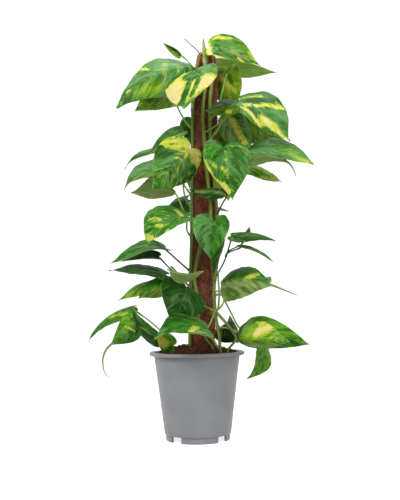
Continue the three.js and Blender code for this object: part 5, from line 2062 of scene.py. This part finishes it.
@dataclass(frozen=True)
class Studio:
    """A white floor that rises behind into a wall, soft lights and the viewer's camera."""

    camera_place: Point = (7.3, -1100, 204)
    camera_pitch: float = 4.86
    camera_roll: float = 0.83
    focal_pixels: float = 686
    picture_height: float = 500
    sensor: float = 36
    floor_glow: float = 0.72
    air_glow: float = 0.42
    floor_run: float = 5200.0
    floor_bend: float = 900.0

    def floor(self) -> None:
        """Makes the floor and the wall behind it in one sweep."""
        piece, across, along = sheet("studio_floor", 2, 40)
        way, bend, run = along * 8000, self.floor_bend, self.floor_run
        turn = np.clip((way - run) / bend, 0, math.pi / 2)
        rest = np.maximum(way - run - bend * math.pi / 2, 0)
        y = -2600 + np.minimum(way, run) + bend * np.sin(turn)
        z = bend * (1 - np.cos(turn)) + rest * 3
        move_points(piece, np.stack([across * 4500, y, z], axis=1) * MM)
        g = Graph("studio_white")
        g.shader.inputs["Emission Color"].default_value = (1, 1, 1, 1)
        g.shader.inputs["Emission Strength"].default_value = self.floor_glow
        piece.visible_diffuse = False
        coat(piece, g.finish(linear("e6e6e6"), 0.9, gloss=0.0), 180)

    def lamp(self, name: str, place: Point, size: float, power: float, aim: Point = (0, 0, 340)) -> None:
        """Hangs a soft square lamp.

        Args:
            name: Its name.
            place: Where it hangs, in millimetres.
            size: Its side in millimetres.
            power: Its power in watts.
            aim: The point that it faces.
        """
        light = bpy.data.lights.new(name, "AREA")
        light.size = size * MM
        light.energy = power
        lamp = bpy.data.objects.new(name, light)
        bpy.context.collection.objects.link(lamp)
        lamp.location = [c * MM for c in place]
        away = unit(np.array(place, float) - np.array(aim, float))
        yaw = math.atan2(away[0], -away[1])
        lamp.rotation_euler = (math.acos(away[2]), 0, yaw)

    def build(self) -> None:
        """Sets up the floor, the lights and the camera."""
        self.floor()
        world = bpy.data.worlds.new("studio_air")
        world.use_nodes = True
        world.node_tree.nodes["Background"].inputs["Color"].default_value = (1, 1, 1, 1)
        world.node_tree.nodes["Background"].inputs["Strength"].default_value = self.air_glow
        bpy.context.scene.world = world
        self.lamp("key", (-900, -1300, 1500), 900, 22)
        self.lamp("fill", (1200, -1100, 800), 1000, 7)
        self.lamp("top", (100, 300, 1700), 900, 12)
        data = bpy.data.cameras.new("viewer")
        data.lens = self.focal_pixels / self.picture_height * self.sensor
        data.sensor_width = self.sensor
        data.clip_start, data.clip_end = 0.05, 40
        camera = bpy.data.objects.new("viewer", data)
        bpy.context.collection.objects.link(camera)
        camera.location = [c * MM for c in self.camera_place]
        camera.rotation_euler = (math.radians(90 + self.camera_pitch), 0, 0)
        camera.rotation_mode = "XYZ"
        bpy.context.view_layer.update()
        camera.matrix_world = camera.matrix_world @ Matrix.Rotation(math.radians(-self.camera_roll), 4, "Z")
        bpy.context.scene.camera = camera
        bpy.context.scene.view_settings.view_transform = "Standard"


def main() -> None:
    """Builds the plant, its pole, soil and pot, and the studio round them."""
    logging.basicConfig(level=logging.INFO, format="%(name)s %(message)s")
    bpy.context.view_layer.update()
    skin = BladeFinish("leaf_upper_side").build()
    underside = BladeFinish("leaf_under_side", pallor=0.55, roughness=0.5, relief=-0.6).build()
    stalk_skin = StalkFinish("leaf_stalk", "6f8b2c", 0.25).build()
    stem_skin = StalkFinish("stem_bark", "7b6238", 0.4, 0.5).build()
    maker = LeafMaker(skin, underside, stalk_skin, STEM_ROUTES)
    for name in dict.fromkeys(leaf.piece for leaf in LEAVES):
        maker.build(name, [leaf for leaf in LEAVES if leaf.piece == name])
    RolledLeaf(stalk_skin).build()
    Stems(STEM_ROUTES, stem_skin).build()
    Pole(
        CoirFinish("coir_felt", "5c2a1d", "c06b4c").build(),
        CoirFinish("coir_strand", "7c3b29", "d28a6a", 500.0, 0.3).build(),
        CoirFinish("coir_strand_light", "b87f60", "edc9ae", 500.0, 0.3).build(),
        CoirFinish("binding_cord", "4a291b", "8a563d", 900.0, 0.3).build(),
        WoodFinish("stake_wood", "c7a277", "8f6a43").build(),
    ).build()
    Soil(
        EarthFinish("potting_soil", "26140c", "744027").build(),
        EarthFinish("soil_crumb", "3a2013", "8f5536").build(),
        EarthFinish("bark_chip", "5a3420", "b4774c").build(),
    ).build()
    Pot(PlasticFinish("grey_plastic", "94959a", "a5a6a9").build()).build()
    Studio().build()


if __name__ == "__main__":
    main()
